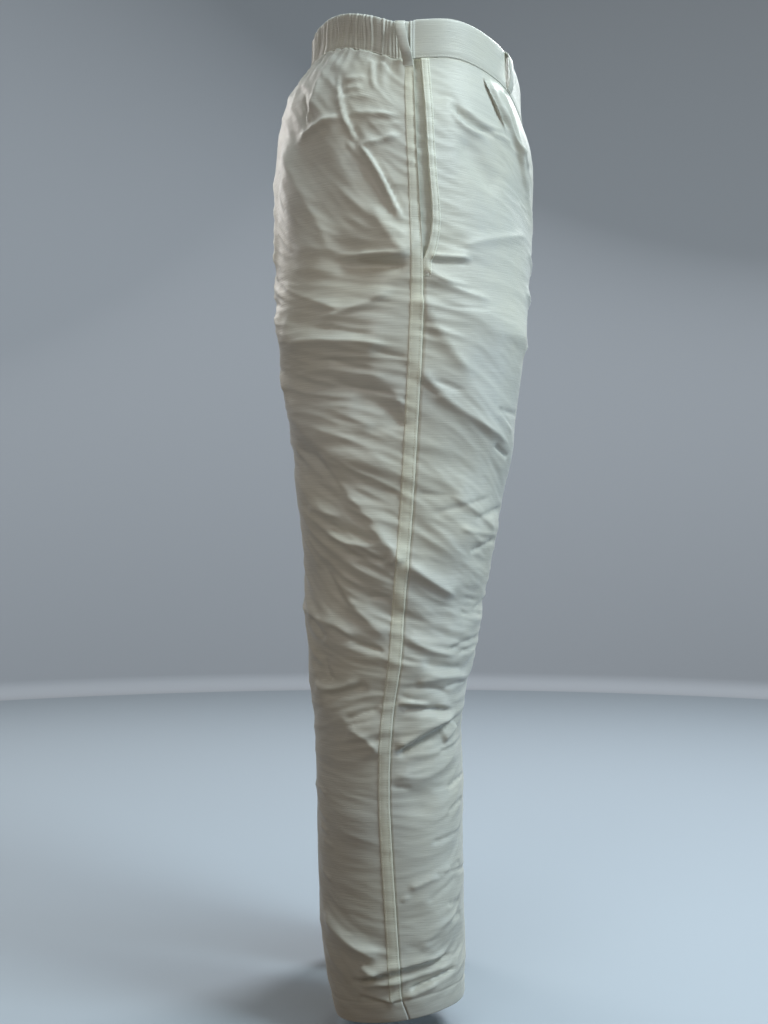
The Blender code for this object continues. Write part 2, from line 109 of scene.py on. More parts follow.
def legOval(level):
    # half sizes, centre, middle line, squareness and end angle of one side's section
    form = trouserForm
    outer = np.hypot(alongTable(legSections, 3, level), form["crotchRadius"])
    gap = np.hypot(alongTable(legSections, 4, level), form["crotchRadius"])
    merged = np.clip((level - form["crotch"]) / (form["hip"] - form["crotch"]), 0, 1)
    apart = level <= form["crotch"]
    tip = np.where(apart, gap, form["crotchRadius"] - (outer + form["crotchRadius"]) * merged)
    a, c = (outer - tip) / 2, (outer + tip) / 2
    front, back = alongTable(legSections, 1, level), alongTable(legSections, 2, level)
    power = alongTable(legSections, 6, level)
    reach = np.where(apart, -1.0, np.clip((form["crotchRadius"] - c) / a, -1, 1))
    end = np.arccos(np.where(reach < 0, -np.abs(reach) ** (power / 2), reach))
    return a, (back - front) / 2, c, (back + front) / 2, power, end


def seamTurn(level):
    _, b, _, middle, _, _ = legOval(level)
    return np.arcsin(np.clip((middle - alongTable(legSections, 5, level)) / b, -1, 1))


def seamReach(level):
    return legOval(np.maximum(level, trouserForm["corner"]))[5]


def innerLimit(front, level):
    # the value of around at the centre seam or at the leg's inner seam
    seam = seamTurn(level) * (1 if front else -1)
    return (legOval(level)[5] - seam) / (seamReach(level) - seam)


def halfGirth(level):
    a, b = legOval(level)[:2]
    return seamReach(level) * np.sqrt((a**2 + b**2) / 2)


def tilt(y, level):
    form = trouserForm
    belowWaist = smoothStep(1 - (form["waistSeam"] - level) / form["waistTiltReach"])
    aboveHem = smoothStep(1 - (level - form["hem"]) / form["hemTiltReach"])
    return alongTable(waistline, 1, y) * belowWaist + form["hemTilt"] * (y - form["hemMiddle"]) * aboveHem


def outsideBy(x, y, level):
    a, b, c, middle, power, _ = legOval(level)
    u = (np.hypot(x, trouserForm["crotchRadius"]) - c) / a
    v = (y - middle) / b
    power = np.where(u >= 0, 2.0, power)
    return np.abs(u) ** power + np.abs(v) ** power - 1


def smoothCloth(around, level, lift):
    # points of the cloth without folds, moved out by lift, with x counted outwards
    a, b, c, middle, power, _ = legOval(level)
    seam, reach = seamTurn(level), seamReach(level)
    turn = seam + around * np.where(around >= 0, reach - seam, reach + seam)
    cosine, sine = np.cos(turn), np.sin(turn)
    power = np.where(cosine >= 0, 2.0, power)
    x = c + a * np.sign(cosine) * np.abs(cosine) ** (2 / power)
    y = middle - b * np.sign(sine) * np.abs(sine) ** (2 / power)
    x = np.sqrt(np.maximum(x * x - trouserForm["crotchRadius"] ** 2, 0))
    step = 1e-4
    toX = outsideBy(x + step, y, level) - outsideBy(x - step, y, level)
    toY = outsideBy(x, y + step, level) - outsideBy(x, y - step, level)
    toLevel = outsideBy(x, y, level + step) - outsideBy(x, y, level - step)
    tiltY = (tilt(y + step, level) - tilt(y - step, level)) / (2 * step)
    tiltLevel = (tilt(y, level + step) - tilt(y, level - step)) / (2 * step)
    toZ = toLevel / (1 + tiltLevel)
    out = np.stack([toX, toY - toZ * tiltY, toZ], -1)
    out /= np.linalg.norm(out, axis=-1, keepdims=True)
    return np.stack([x, y, level + tilt(y, level)], -1) + out * np.asarray(lift)[..., None]


# Folds and creases
foldLook = {
    "leftShift": -0.018, "leftShare": 0.85,  # the left leg's main folds: lower and a little shallower
    "foldShare": 0.75, "foldRun": 0.3, "foldFade": 0.16,
    "creaseScatter": 0.012, "leftCreaseShare": (0.55, 1.1), "leftSeed": 41,
    "creaseShares": (  # level, share of each crease's height
        (-1.0, 1.9), (-0.92, 1.6), (-0.84, 1.2), (-0.73, 1.6), (-0.60, 1.2), (-0.30, 1.15),
        (-0.22, 1.4), (0.0, 1.35),
    ),
    "creaseSteps": 8, "creaseReach": 0.0028, "creaseRound": 0.45, "creaseSharp": 2.2, "creaseEnd": 0.2,
    # how near the seams and the waist the folds, creases and wrinkles start
    "foldFromWaist": 0.02, "foldFromSeam": 0.25, "creaseFromWaist": 0.012, "creaseFromSeam": 0.07,
    "edgeCalm": 0.55, "edgeWidth": 0.13, "edgeFrom": 0.2,
}
wrinkleLook = {
    "height": 1.10, "foot": 1.06, "width": 0.94, "cell": 0.002,  # the raster that the wrinkles are drawn on
    "angles": np.radians([-60, -35, -10, 15, 40, 65]), "bandShare": 2.4,
    "sizes": (  # length, width, height
        (0.034, 0.0085, 0.0013), (0.020, 0.0042, 0.0010), (0.012, 0.0024, 0.00040),
    ),
    "crest": 0.75, "crestRound": 0.04, "seeds": {right: 7, left: 23},
}
mainFolds = np.array([  # around, level, to around, to level, height, width; in hundredths and millimetres
    (-60, -50, -4, -240, 6, 20), (-36, -110, -10, -190, -5, 22), (-76, -120, -40, -240, 10.5, 21),
    (-55, -170, -16, -265, -6, 26), (-80, -290, -8, -310, 5, 20), (-78, -330, -15, -350, -5.5, 22),
    (-90, -360, -5, -445, 6, 22), (-90, -430, 2, -560, 6.5, 24), (-95, -510, -10, -600, -5, 22),
    (-85, -570, 40, -665, 5.5, 22), (-85, -655, 0, -715, 4.5, 18), (24, -105, 46, -150, -5, 14),
    (10, -275, 75, -305, 4, 16), (4, -335, 80, -440, 6, 20), (10, -420, 75, -475, -4.5, 18),
    (5, -520, 80, -500, 4, 18), (10, -590, 80, -560, -4, 18), (6, -700, 75, -690, 6, 18),
    (8, -790, 80, -735, -6, 18), (14, -900, 80, -850, 3.5, 18), (-75, -760, -10, -820, 3.5, 22),
    (-80, -900, -5, -965, 4.5, 20), (-2, -970, 75, -925, -5.5, 17),
]) / [100, 1000, 100, 1000, 1000, 1000]
# Creases, each through three places: around, level, around, level, around, level, height
# (a trough where negative), softness above or to the front, and softness below. Around is in
# hundredths, the rest in millimetres.
seenCreases = [
    (-40, -71, -35, -94, -30, -107, 2.6, 9, 4), (-30, -107, -17, -150, -6, -199, 3.4, 14, 4.5),
    (-33, -118, -30, -123, -22, -141, 1.5, 4, 3), (-66, -111, -47, -101, -35, -97, 2.2, 7, 4),
    (-54, -53, -53, -72, -59, -104, 2.2, 4, 4), (-83, -100, -55, -156, -36, -225, 5, 24, 16),
    (-39, -223, -22, -224, -9, -225, 2.2, 3.5, 7), (-36, -234, -20, -236, -5, -235, -2.6, 8, 10),
    (-25, -120, -17, -112, -9, -102, 1, 3, 3), (-26, -93, -17, -87, -9, -84, 0.9, 2.5, 3),
    (-38, -58, -31, -56, -25, -50, 1.2, 3, 3), (-37, -68, -31, -66, -26, -63, 1.2, 3, 4),
    (-37, -77, -29, -73, -20, -71, 1, 3, 4), (-23, -99, -13, -94, -3, -90, 0.7, 3, 3),
    (-15, -155, -9, -154, -4, -155, 0.6, 2.5, 3), (-15, -194, -10, -201, -6, -205, 1.5, 3, 5),
    (-21, -172, -12, -209, -5, -228, 3, 14, 9), (-25, -28, -22, -45, -20, -66, 2.2, 3, 3),
    (-20, -32, -16, -33, -12, -41, 1.4, 3, 3), (20, -66, 27, -82, 48, -90, -1.9, 3, 4),
    (24, -69, 38, -82, 55, -73, 1.8, 8, 4), (48, -90, 62, -89, 73, -99, 1.1, 3, 3),
    (10, -64, 18, -63, 24, -71, -0.8, 4, 4), (65, -148, 70, -150, 76, -154, 0.8, 3, 3),
    (3, -226, 13, -227, 24, -227, 1.5, 2.5, 4), (0, -241, 9, -249, 22, -255, 1.8, 3, 5),
    (17, -217, 39, -202, 71, -187, 1.6, 6, 8), (1, -248, 15, -259, 33, -268, 1.8, 4, 5),
    (-70, -243, -44, -265, -30, -280, 2.6, 9, 5), (-40, -286, -24, -277, -10, -258, 3.4, 9, 6),
    (-61, -284, -37, -296, -16, -306, -4.6, 14, 12), (-63, -309, -32, -310, -12, -317, 3, 5, 9),
    (-19, -320, -12, -325, -5, -329, -2.2, 4, 5), (-69, -324, -27, -327, -1, -332, 0.9, 2, 2.5),
    (-36, -329, -28, -335, -18, -339, -2, 3, 6), (-58, -340, -30, -341, -11, -352, 2.2, 8, 6),
    (-37, -349, -24, -359, -10, -363, -3, 5, 11), (-28, -366, -13, -379, -6, -403, -3.4, 12, 15),
    (-10, -360, -7, -379, -4, -395, 2.4, 8, 3), (-33, -381, -21, -384, -11, -388, 0.9, 3, 3),
    (-47, -397, -35, -405, -25, -411, 1, 3, 4), (-21, -396, -12, -402, -5, -410, -1.6, 5, 8),
    (-45, -419, -31, -462, -10, -512, 4, 18, 10), (-66, -420, -43, -436, -30, -483, -3.5, 10, 14),
    (-15, -460, -9, -463, -5, -466, -1.2, 2, 4), (1, -466, 9, -466, 18, -468, -1.3, 3, 4),
    (-57, -479, -43, -484, -32, -491, 2, 6, 4), (6, -277, 18, -277, 32, -277, -0.8, 2, 3),
    (0, -263, 6, -299, 26, -352, 4, 24, 8), (0, -332, 15, -374, 61, -417, 4, 8, 6),
    (0, -351, 5, -360, 10, -367, -2.6, 4, 5), (43, -413, 51, -421, 62, -426, -3, 3, 3),
    (6, -351, 13, -356, 22, -362, -1.5, 3, 4), (43, -377, 52, -380, 74, -381, -2, 3, 3),
    (41, -380, 49, -390, 60, -402, 1.5, 3, 3), (11, -486, 26, -478, 56, -466, -1.6, 3, 5),
    (18, -466, 37, -483, 62, -507, 2.5, 6, 5), (38, -490, 50, -485, 77, -478, -2.6, 3, 4),
    (-45, -493, -28, -506, -14, -514, -4, 10, 10), (-43, -501, -30, -515, -14, -517, 2.6, 4, 5),
    (-34, -523, -19, -531, -8, -532, -3, 5, 8), (-22, -492, -9, -520, -4, -537, 4.2, 8, 10),
    (-2, -533, 14, -555, 33, -571, 4.4, 8, 9), (-50, -533, -40, -558, -31, -583, -4, 12, 8),
    (-40, -544, -26, -582, -5, -616, 4, 14, 8), (-28, -535, -17, -541, -7, -548, -1.1, 3, 5),
    (-21, -571, -13, -570, -6, -571, -1.2, 2, 4), (-89, -580, -45, -597, -25, -616, 2.5, 6, 5),
    (-59, -591, -51, -604, -45, -617, -3, 6, 8), (-43, -598, -28, -614, -7, -627, -2.6, 4, 8),
    (-29, -620, -18, -621, -7, -629, -1.6, 2, 3), (-47, -635, -45, -647, -41, -660, -2, 4, 4),
    (-59, -660, -40, -667, -22, -654, 2.6, 5, 6), (-51, -674, -32, -668, -17, -659, -2.6, 5, 8),
    (37, -527, 47, -519, 69, -511, -2.6, 4, 4), (28, -500, 41, -505, 71, -510, 2, 5, 3),
    (38, -588, 49, -590, 74, -592, -1.5, 3, 4), (53, -586, 66, -580, 78, -575, -1.5, 3, 3),
    (1, -609, 15, -623, 40, -633, 3.2, 6, 6), (12, -637, 29, -645, 50, -647, -3.4, 8, 5),
    (30, -627, 45, -620, 70, -616, -2.2, 3, 3), (40, -633, 52, -627, 75, -625, -1.5, 2, 2),
    (12, -660, 29, -654, 63, -656, 2.5, 6, 6), (33, -665, 44, -662, 64, -661, -2, 3, 3),
    (1, -666, 20, -664, 40, -673, -2, 5, 4), (1, -680, 12, -679, 25, -682, 1.3, 2, 2),
    (1, -683, 22, -685, 45, -689, -3.6, 2, 5), (1, -679, 22, -681, 43, -685, 2.4, 8, 2),
    (1, -670, 16, -678, 42, -687, -2, 4, 3), (4, -728, 21, -711, 50, -693, 4.4, 13, 2),
    (3, -733.5, 22, -717.5, 53, -699, -5, 2, 7), (54, -705, 48, -715, 40, -722, 3, 5, 12),
    (-32, -698, -20, -690, -6, -684, -2.6, 4, 4), (-31, -705, -17, -716, -6, -734, 2.6, 6, 12),
    (35, -732, 50, -729, 77, -722, -1.6, 3, 3), (46, -773, 57, -766, 79, -761, -1.6, 2.5, 3),
    (44, -797, 55, -790, 67, -786, -1.6, 2.5, 3), (29, -826, 43, -822, 65, -819, -1.6, 2.5, 3),
    (43, -855, 50, -853, 60, -851, -1.6, 2.5, 3), (1, -747, 29, -755, 70, -722, 2.2, 11, 11),
    (1, -766, 7, -766, 15, -768, -1.3, 4, 3), (-81, -773, -56, -774, -52, -782, 1.3, 3, 3),
    (-64, -792, -56, -799, -47, -804, 1.5, 3, 3), (-62, -812, -55, -816, -47, -817, 1.5, 3, 3),
    (-59, -828, -50, -830, -43, -832, 1.3, 3, 3), (-63, -859, -54, -863, -48, -868, 1.3, 3, 3),
    (-59, -902, -35, -925, -11, -942, 3.6, 13, 6), (10, -871, 26, -863, 58, -850, 2.2, 5, 4),
    (31, -863, 43, -858, 88, -863, -1.6, 2.5, 3), (4, -883, 7, -880, 10, -878, 1.6, 2, 2),
    (21, -887, 37, -874, 57, -864, -1.2, 5, 5), (40, -892, 47, -891, 58, -892, -1.3, 3, 3),
    (43, -907, 51, -907, 61, -906, -1.3, 3, 3), (15, -937, 30, -915, 55, -899, 2.2, 12, 12),
    (-36, -961, 0, -951, 46, -943, 3.2, 9, 3), (-37, -966, 0, -955, 52, -948, -4, 2.5, 2.5),
    (-30, -967, 3, -964, 50, -957, 2.8, 4, 4), (6, -976, 23, -971, 52, -964, -3.6, 2.5, 3),
    (1, -983, 15, -979, 30, -974, 2, 3, 4), (-28, -945, -20, -952, -14, -956, 2, 3, 5),
    (-32, -972, -17, -979, -4, -987, 2.2, 6, 3), (-30, -980, -20, -984, -9, -989, -1.6, 4, 4),
    (-42, -46, -34, -94, -28, -117, 2.6, 5, 2.5), (-40, -46, -32, -93, -25, -114, -1.8, 4, 5),
    (-28, -117, -17, -147, -8, -194, 3.2, 6, 2), (-24, -117, -13, -152, -6, -193, -2.2, 2, 7),
    (-61, -105, -47, -100, -35, -94, 2.2, 5, 3), (-33, -93, -20, -87, -7, -83, 1.8, 5, 2),
    (-26, -119, -16, -112, -7, -102, 1.6, 4, 2), (-63, -63, -59, -84, -56, -105, -2, 3, 3),
    (-27, -224, -16, -225, -6, -227, 3, 7, 2), (-28, -230, -16, -233, -6, -237, -2.4, 2, 7),
    (22, -71, 28, -87, 43, -87, -2.4, 2, 5), (21, -75, 26, -92, 41, -94, 2.4, 5, 3),
    (43, -89, 50, -86, 59, -84, 2.2, 4, 2), (44, -26, 49, -50, 57, -74, -4.5, 2, 4),
    (53, -44, 64, -81, 82, -83, 3.2, 4, 5), (2, -227, 13, -226, 25, -226, 2.4, 5, 2),
    (2, -232, 13, -232, 24, -231, -1.8, 2, 5), (0, -238, 7, -247, 14, -256, 1.8, 5, 2),
]
innerCreases = [  # where the photograph shows nothing: under the crotch, inner legs, seat
    (102, -285, 85, -262, 62, -250, 3, 6, 10), (105, -300, 88, -300, 66, -318, 2.6, 6, 9),
    (112, -320, 98, -345, 78, -385, 3, 7, 10), (130, -340, 110, -380, 92, -440, 2.6, 8, 10),
    (98, -235, 86, -215, 70, -205, 1.8, 5, 7), (136, -400, 120, -430, 100, -500, 2.8, 10, 8),
    (135, -470, 115, -500, 95, -520, -2.5, 8, 8), (136, -560, 120, -575, 98, -560, 2.4, 7, 9),
    (135, -640, 115, -655, 92, -645, 2.6, 6, 8), (136, -700, 118, -715, 95, -712, -2.8, 4, 6),
    (134, -735, 115, -755, 93, -735, 2.8, 9, 4), (134, -800, 120, -815, 102, -840, 1.8, 5, 5),
    (134, -870, 120, -890, 100, -910, 1.8, 5, 6), (136, -945, 115, -955, 90, -940, 3, 9, 4),
    (136, -965, 112, -975, 88, -955, -3.4, 3, 3), (-102, -290, -85, -275, -62, -285, 3, 7, 10),
    (-103, -305, -86, -325, -66, -375, 3.4, 8, 12), (-110, -335, -95, -375, -80, -430, 3, 8, 10),
    (-134, -360, -115, -420, -95, -500, 3.4, 12, 9), (-134, -450, -115, -500, -92, -585, -3.2, 10, 10),
    (-135, -540, -115, -585, -95, -660, 3.4, 12, 8), (-135, -630, -120, -655, -96, -690, -2.8, 7, 7),
    (-135, -695, -115, -720, -92, -725, 3, 6, 6), (-134, -760, -110, -790, -88, -840, 2.2, 9, 7),
    (-134, -850, -110, -890, -90, -945, 2.6, 10, 7), (-136, -950, -115, -965, -85, -960, 3, 8, 4),
    (-136, -972, -112, -985, -80, -978, -3.4, 3, 3), (-98, -120, -86, -160, -80, -240, 2.8, 10, 8),
    (-97, -200, -90, -235, -74, -262, 2.2, 6, 8),
]
runSpots = np.array([-0.8, -0.3, 0.3, 0.8])
wrinkleRun = np.array([  # level, slope of the wrinkles at the four spots round the leg, then their strength
    (-1.010, 0.00, -0.20, 0.25, 0.35, 0.4, 0.4, 0.4, 0.4),
    (-0.960, -1.00, -0.40, 0.30, 0.70, 1.0, 0.9, 0.9, 1.0),
    (-0.880, -1.30, -0.20, 0.40, 0.90, 0.6, 0.3, 0.3, 0.8),
    (-0.780, -0.90, -0.20, 0.10, 0.80, 0.6, 0.4, 0.5, 0.8),
    (-0.700, 0.30, 0.30, 0.10, 0.50, 1.0, 0.9, 0.9, 1.1),
    (-0.620, -0.80, -0.40, -0.30, 0.45, 1.2, 1.0, 1.0, 1.3),
    (-0.550, -0.80, -0.60, -0.55, 0.20, 1.0, 1.0, 0.8, 0.9),
    (-0.450, -0.50, -0.50, -0.65, -0.30, 1.0, 1.0, 0.55, 0.6),
    (-0.350, -0.10, -0.15, -0.70, -0.25, 1.0, 0.9, 0.35, 0.35),
    (-0.250, -0.30, -0.15, -0.15, 0.00, 0.8, 0.8, 0.25, 0.25),
    (-0.150, -0.90, -0.90, 0.00, -0.50, 0.7, 0.6, 0.2, 0.3),
    (-0.050, -0.60, -1.00, -0.10, -0.50, 0.6, 0.5, 0.2, 0.4),
    (0.040, -0.60, -1.00, -0.10, -0.50, 0.6, 0.5, 0.2, 0.4),
])


def foldRelief(side, around, level):
    girth = halfGirth(level)
    shift = foldLook["leftShift"] if side == left else 0.0
    total = np.zeros_like(around)
    for startAround, startLevel, endAround, endLevel, height, width in mainFolds:
        low, high = startLevel + shift, endLevel + shift
        runAround = (endAround - startAround) * halfGirth(np.array((low + high) / 2))
        length = np.hypot(runAround, high - low)
        runAround, runLevel = runAround / length, (high - low) / length
        across, down = (around - startAround) * girth, level - low
        along = (across * runAround + down * runLevel) / length
        off = down * runAround - across * runLevel
        past = np.maximum(np.abs(along - 0.5) - foldLook["foldRun"], 0)
        fade = np.exp(-((past / foldLook["foldFade"]) ** 2))
        total += height * np.exp(-((off / width) ** 2)) * fade
    return total * foldLook["foldShare"] * (foldLook["leftShare"] if side == left else 1.0)


def scatteredCreases(side):
    # the left leg wears the same creases, each moved and scaled by chance
    rows = np.array(seenCreases + innerCreases)
    rows[:, 0:6:2] /= 100
    rows[:, 1:6:2] /= 1000
    if side == left:
        chance = np.random.default_rng(foldLook["leftSeed"])
        drift = chance.normal(0, foldLook["creaseScatter"], (len(rows), 2))
        rows[:, 0:6:2] += drift[:, :1] * 3
        rows[:, 1:6:2] += drift[:, 1:]
        rows[:, 6] *= chance.uniform(*foldLook["leftCreaseShare"], len(rows))
    rows[:, 6] *= np.interp(rows[:, 3], *np.array(foldLook["creaseShares"]).T)
    return rows


def creaseRelief(side, around, level):
    look = foldLook
    distance = around * halfGirth(level)
    total = np.zeros_like(around)
    t = np.linspace(0, 1, look["creaseSteps"] + 1)
    for a0, l0, a1, l1, a2, l2, height, above, below in creaseRows[side]:
        bendAround, bendLevel = 2 * a1 - (a0 + a2) / 2, 2 * l1 - (l0 + l2) / 2
        lineLevel = (1 - t) ** 2 * l0 + 2 * t * (1 - t) * bendLevel + t * t * l2
        lineAround = (1 - t) ** 2 * a0 + 2 * t * (1 - t) * bendAround + t * t * a2
        line = lineAround * halfGirth(lineLevel)
        reach = look["creaseReach"] * max(above, below)
        near = (level > lineLevel.min() - reach) & (level < lineLevel.max() + reach)
        near &= (distance > line.min() - reach) & (distance < line.max() + reach)
        if not near.any():
            continue
        s, z = distance[near], level[near]
        best, onSide, along = np.full(s.shape, 1.0), np.zeros(s.shape), np.zeros(s.shape)
        for k in range(look["creaseSteps"]):
            ds, dz = line[k + 1] - line[k], lineLevel[k + 1] - lineLevel[k]
            u = np.clip(((s - line[k]) * ds + (z - lineLevel[k]) * dz) / (ds * ds + dz * dz), 0, 1)
            awayS, awayZ = s - line[k] - u * ds, z - lineLevel[k] - u * dz
            away = np.hypot(awayS, awayZ)
            closer = away < best
            best = np.where(closer, away, best)
            onSide = np.where(closer, ds * awayZ - dz * awayS, onSide)
            along = np.where(closer, (k + u) / look["creaseSteps"], along)
        q = best / (mm * np.where(onSide >= 0, above, below))
        crisp = np.exp(-look["creaseSharp"] * q)
        body = look["creaseRound"] * np.exp(-q * q) + (1 - look["creaseRound"]) * crisp
        total[near] += mm * height * body * smoothStep(np.minimum(along, 1 - along) / look["creaseEnd"])
    return total


def wrinkleRasters(seed):
    # chance wrinkles of three sizes, each drawn out in six directions on a flat raster of the cloth
    look, cell = wrinkleLook, wrinkleLook["cell"]
    rows, columns = int(look["height"] / cell), int(look["width"] / cell)
    kz = np.fft.fftfreq(rows, cell)[:, None] * 2 * pi
    ks = np.fft.fftfreq(columns, cell)[None, :] * 2 * pi
    rasters = []
    for size, (length, width, _) in enumerate(look["sizes"]):
        white = np.fft.fft2(np.random.default_rng(seed + size).normal(size=(rows, columns)))
        turned = []
        for angle in look["angles"]:
            along = ks * np.cos(angle) + kz * np.sin(angle)
            across = kz * np.cos(angle) - ks * np.sin(angle)
            coarse = across * width * look["bandShare"]
            band = np.exp(-((across * width) ** 2) / 2) - np.exp(-(coarse**2) / 2)
            field = np.real(np.fft.ifft2(white * band * np.exp(-((along * length) ** 2) / 2)))
            turned.append(field / field.std())
        rasters.append(np.array(turned))
    return rasters


def wrinkleTurn(around, level):
    # the wrinkles' slope and strength, between the spots of the table
    at = np.clip(np.searchsorted(runSpots, around) - 1, 0, 2)
    share = np.clip((around - runSpots[at]) / (runSpots[at + 1] - runSpots[at]), 0, 1)
    columns = np.stack([alongTable(wrinkleRun, k, level) for k in range(1, 9)])
    flat = at.reshape(1, *at.shape)
    return [np.take_along_axis(columns[k:k + 4], flat, 0)[0] * (1 - share)
            + np.take_along_axis(columns[k:k + 4], flat + 1, 0)[0] * share for k in (0, 4)]


def wrinkleRelief(side, around, level):
    look, cell = wrinkleLook, wrinkleLook["cell"]
    rows, columns = wrinkles[side][0].shape[1:]
    column = np.clip((around * halfGirth(level) + look["width"] / 2) / cell, 0, columns - 1.001)
    row = np.clip((level + look["foot"]) / cell, 0, rows - 1.001)
    i, j = row.astype(int), column.astype(int)
    v, u = row - i, column - j
    slope, strength = wrinkleTurn(around, level)
    angles = look["angles"]
    angle = np.clip(np.arctan(slope), angles[0], angles[-1])
    total = np.zeros_like(around)
    for (_, _, height), raster in zip(look["sizes"], wrinkles[side]):
        value = np.zeros_like(around)
        for f, middle in zip(raster, angles):
            weight = np.clip(1 - np.abs(angle - middle) / (angles[1] - angles[0]), 0, 1)
            lower, upper = (f[k, j] * (1 - u) + f[k, j + 1] * u for k in (i, i + 1))
            value += weight * (lower * (1 - v) + upper * v)
        # a crisp crest where the noise crosses 0
        total += height * (look["crest"] - np.sqrt(value**2 + look["crestRound"]))
    return total * strength


creaseRows = {side: scatteredCreases(side) for side in (right, left)}
wrinkles = {side: wrinkleRasters(wrinkleLook["seeds"][side]) for side in (right, left)}
print("creases and wrinkles ready")

gatherLook = {
    "elasticGathers": 36, "elasticHeight": 0.0020, "elasticSeed": 60, "elasticLowest": 0.45,  # for each half
    "slant": (0.30, 0.11, 23), "bandHeight": 41,  # in millimetres, where the band's ridges are measured
    "seat": (  # count, height, reach down the seat, seed
        (36, 0.0015, (0.010, 0.030), 5), (11, 0.0032, (0.030, 0.082), 9),
    ),
    "most": 96, "lowest": 0.55, "bend": 0.22, "narrow": 1.3,
    "warps": ((0.42, 0.83, 1), (0.22, 2.1, 2)),  # how far the ridges wander, how often, and the seed's share
}


def gatherWave(place, seed, lowest=gatherLook["lowest"]):
    # rounded ridges, one for each whole number of place, of uneven height and with narrow valleys
    look, chance = gatherLook, np.random.default_rng(seed)
    heights = chance.uniform(lowest, 1, look["most"])
    bends = chance.uniform(-look["bend"], look["bend"], look["most"])
    warped = place
    for size, rate, share in look["warps"]:
        warped = warped + size * np.sin(place * rate + share * seed)
    warped = np.clip(warped, 0, np.ceil(place.max()))
    ridge = np.clip(warped.astype(int), 0, look["most"] - 1)
    t = np.clip(warped - ridge, 0, 1)
    t = t + bends[ridge] * np.sin(pi * t) ** 2
    return heights[ridge] * np.sin(pi * np.clip(t, 0, 1)) ** look["narrow"], ridge


def seatGathers(side, around, level):
    look, form = gatherLook, trouserForm
    depth = form["waistSeam"] - level
    first = form["seamWidth"] / halfGirth(np.array(form["waistSeam"]))
    place = (np.abs(around) - first) / (1 - first)
    total = np.zeros_like(around)
    for count, height, reach, seed in look["seat"]:
        wave, ridge = gatherWave(np.clip(place, 0, 1) * count * 0.9999, seed + side)
        lengths = np.random.default_rng(seed + 3 + side).uniform(*reach, look["most"])
        total += height * wave * smoothStep(1 - depth / lengths[ridge])
    return np.where((around < 0) & (place > 0), total, 0.0)


pleatLook = {
    "topAround": 0.51, "bottomAround": 0.86, "length": 0.150,
    "height": 0.0085, "width": 0.014, "lean": 0.0110, "crispness": 0.55, "sharp": 2.2,
    # the overlap at the top: around at its two ends, length, height, overhang, softness to each side
    "overlap": (0.415, 0.535, 0.055, 0.0066, 0.0075, 0.014, 0.0022),
    "opens": 0.25, "closes": 1.15, "closing": 0.55,  # along the overlap, as shares of its length
}
hemLook = {"groove": 0.0006, "grooveWidth": 0.0012, "puff": 0.0004, "puffEdge": 0.004}


def pleat(around, level):
    # a fold that opens towards the pocket: its height, and how far its edge hangs over
    look = pleatLook
    down = np.clip((trouserForm["waistSeam"] - level) / look["length"], 0, 1)
    line = look["topAround"] + (look["bottomAround"] - look["topAround"]) * down**0.8
    strength = np.sin(pi * (0.15 + 0.85 * down)) ** 0.8
    q = (around - line) * halfGirth(level) / look["width"]
    bump = (1 - look["crispness"]) * np.exp(-q * q) + look["crispness"] * np.exp(-look["sharp"] * np.abs(q))
    top, bottom, length, high, over, soft, crisp = look["overlap"]
    down = (trouserForm["waistSeam"] - level) / length
    line = top + (bottom - top) * down
    beside = (around - line) * halfGirth(level)
    opened = smoothStep(np.minimum(down / look["opens"], (look["closes"] - down) / look["closing"]))
    edge = np.where(beside > 0, np.exp(-((beside / soft) ** 2)), np.exp(-((beside / crisp) ** 2)))
    return (look["height"] * bump * strength + high * edge * opened,
            look["lean"] * np.exp(-q * q) * strength + over * edge * opened)


def hemGroove(level):
    # the hem's stitches draw a groove, and its doubled cloth stands out below it
    form, look = trouserForm, hemLook
    off = level - hemTop
    puff = smoothStep(-off / look["puffEdge"]) * smoothStep((level - form["hem"]) / look["puffEdge"])
    return -look["groove"] * np.exp(-((off / look["grooveWidth"]) ** 2)) + look["puff"] * puff


def pocketLift(around, level):
    # the mouth of the pocket stands away from the facing
    gape = np.interp(level, pocketMouth[:, 0], pocketMouth[:, 1])
    beyond = np.maximum(around * halfGirth(level) - gape, 0)
    lift = pocketLook["lift"] * gape * np.exp(-beyond / pocketLook["liftFade"])
    return np.where(level > pocketMouth[0, 0], lift, 0.0)


def wornCloth(side, around, level, lift=0.0):
    # points of the outer face with every fold on it
    look, form = foldLook, trouserForm
    around, level = np.broadcast_arrays(np.asarray(around, float), np.asarray(level, float))
    room = np.where(around >= 0, innerLimit(True, level), innerLimit(False, level)) - np.abs(around)
    down = form["waistSeam"] - level
    below = smoothStep(down / look["foldFromWaist"])
    calm = smoothStep(room / look["foldFromSeam"]) * below
    height, lean = pleat(around, level)
    # the folds run shallower over the front and back lines of the leg
    limit = room + np.abs(around)
    edgeOn = np.exp(-(((np.abs(around) / limit - 0.5) / look["edgeWidth"]) ** 2))
    edgeOn = edgeOn * smoothStep((form["hip"] - level) / look["edgeFrom"])
    calmer = 1 - look["edgeCalm"] * edgeOn
    relief = (foldRelief(side, around, level) * calmer + height) * calm + seatGathers(side, around, level)
    near = smoothStep(room / look["creaseFromSeam"]) * smoothStep(down / look["creaseFromWaist"])
    relief += (creaseRelief(side, around, level) + wrinkleRelief(side, around, level) * calmer) * near
    relief += hemGroove(level) + np.where(around > 0, pocketLift(around, level), 0.0) * below
    points = smoothCloth(around - lean * calm / halfGirth(level), level, relief + lift)
    points[..., 0] = np.maximum(points[..., 0], form["seamGap"] / 2) * side
    return points


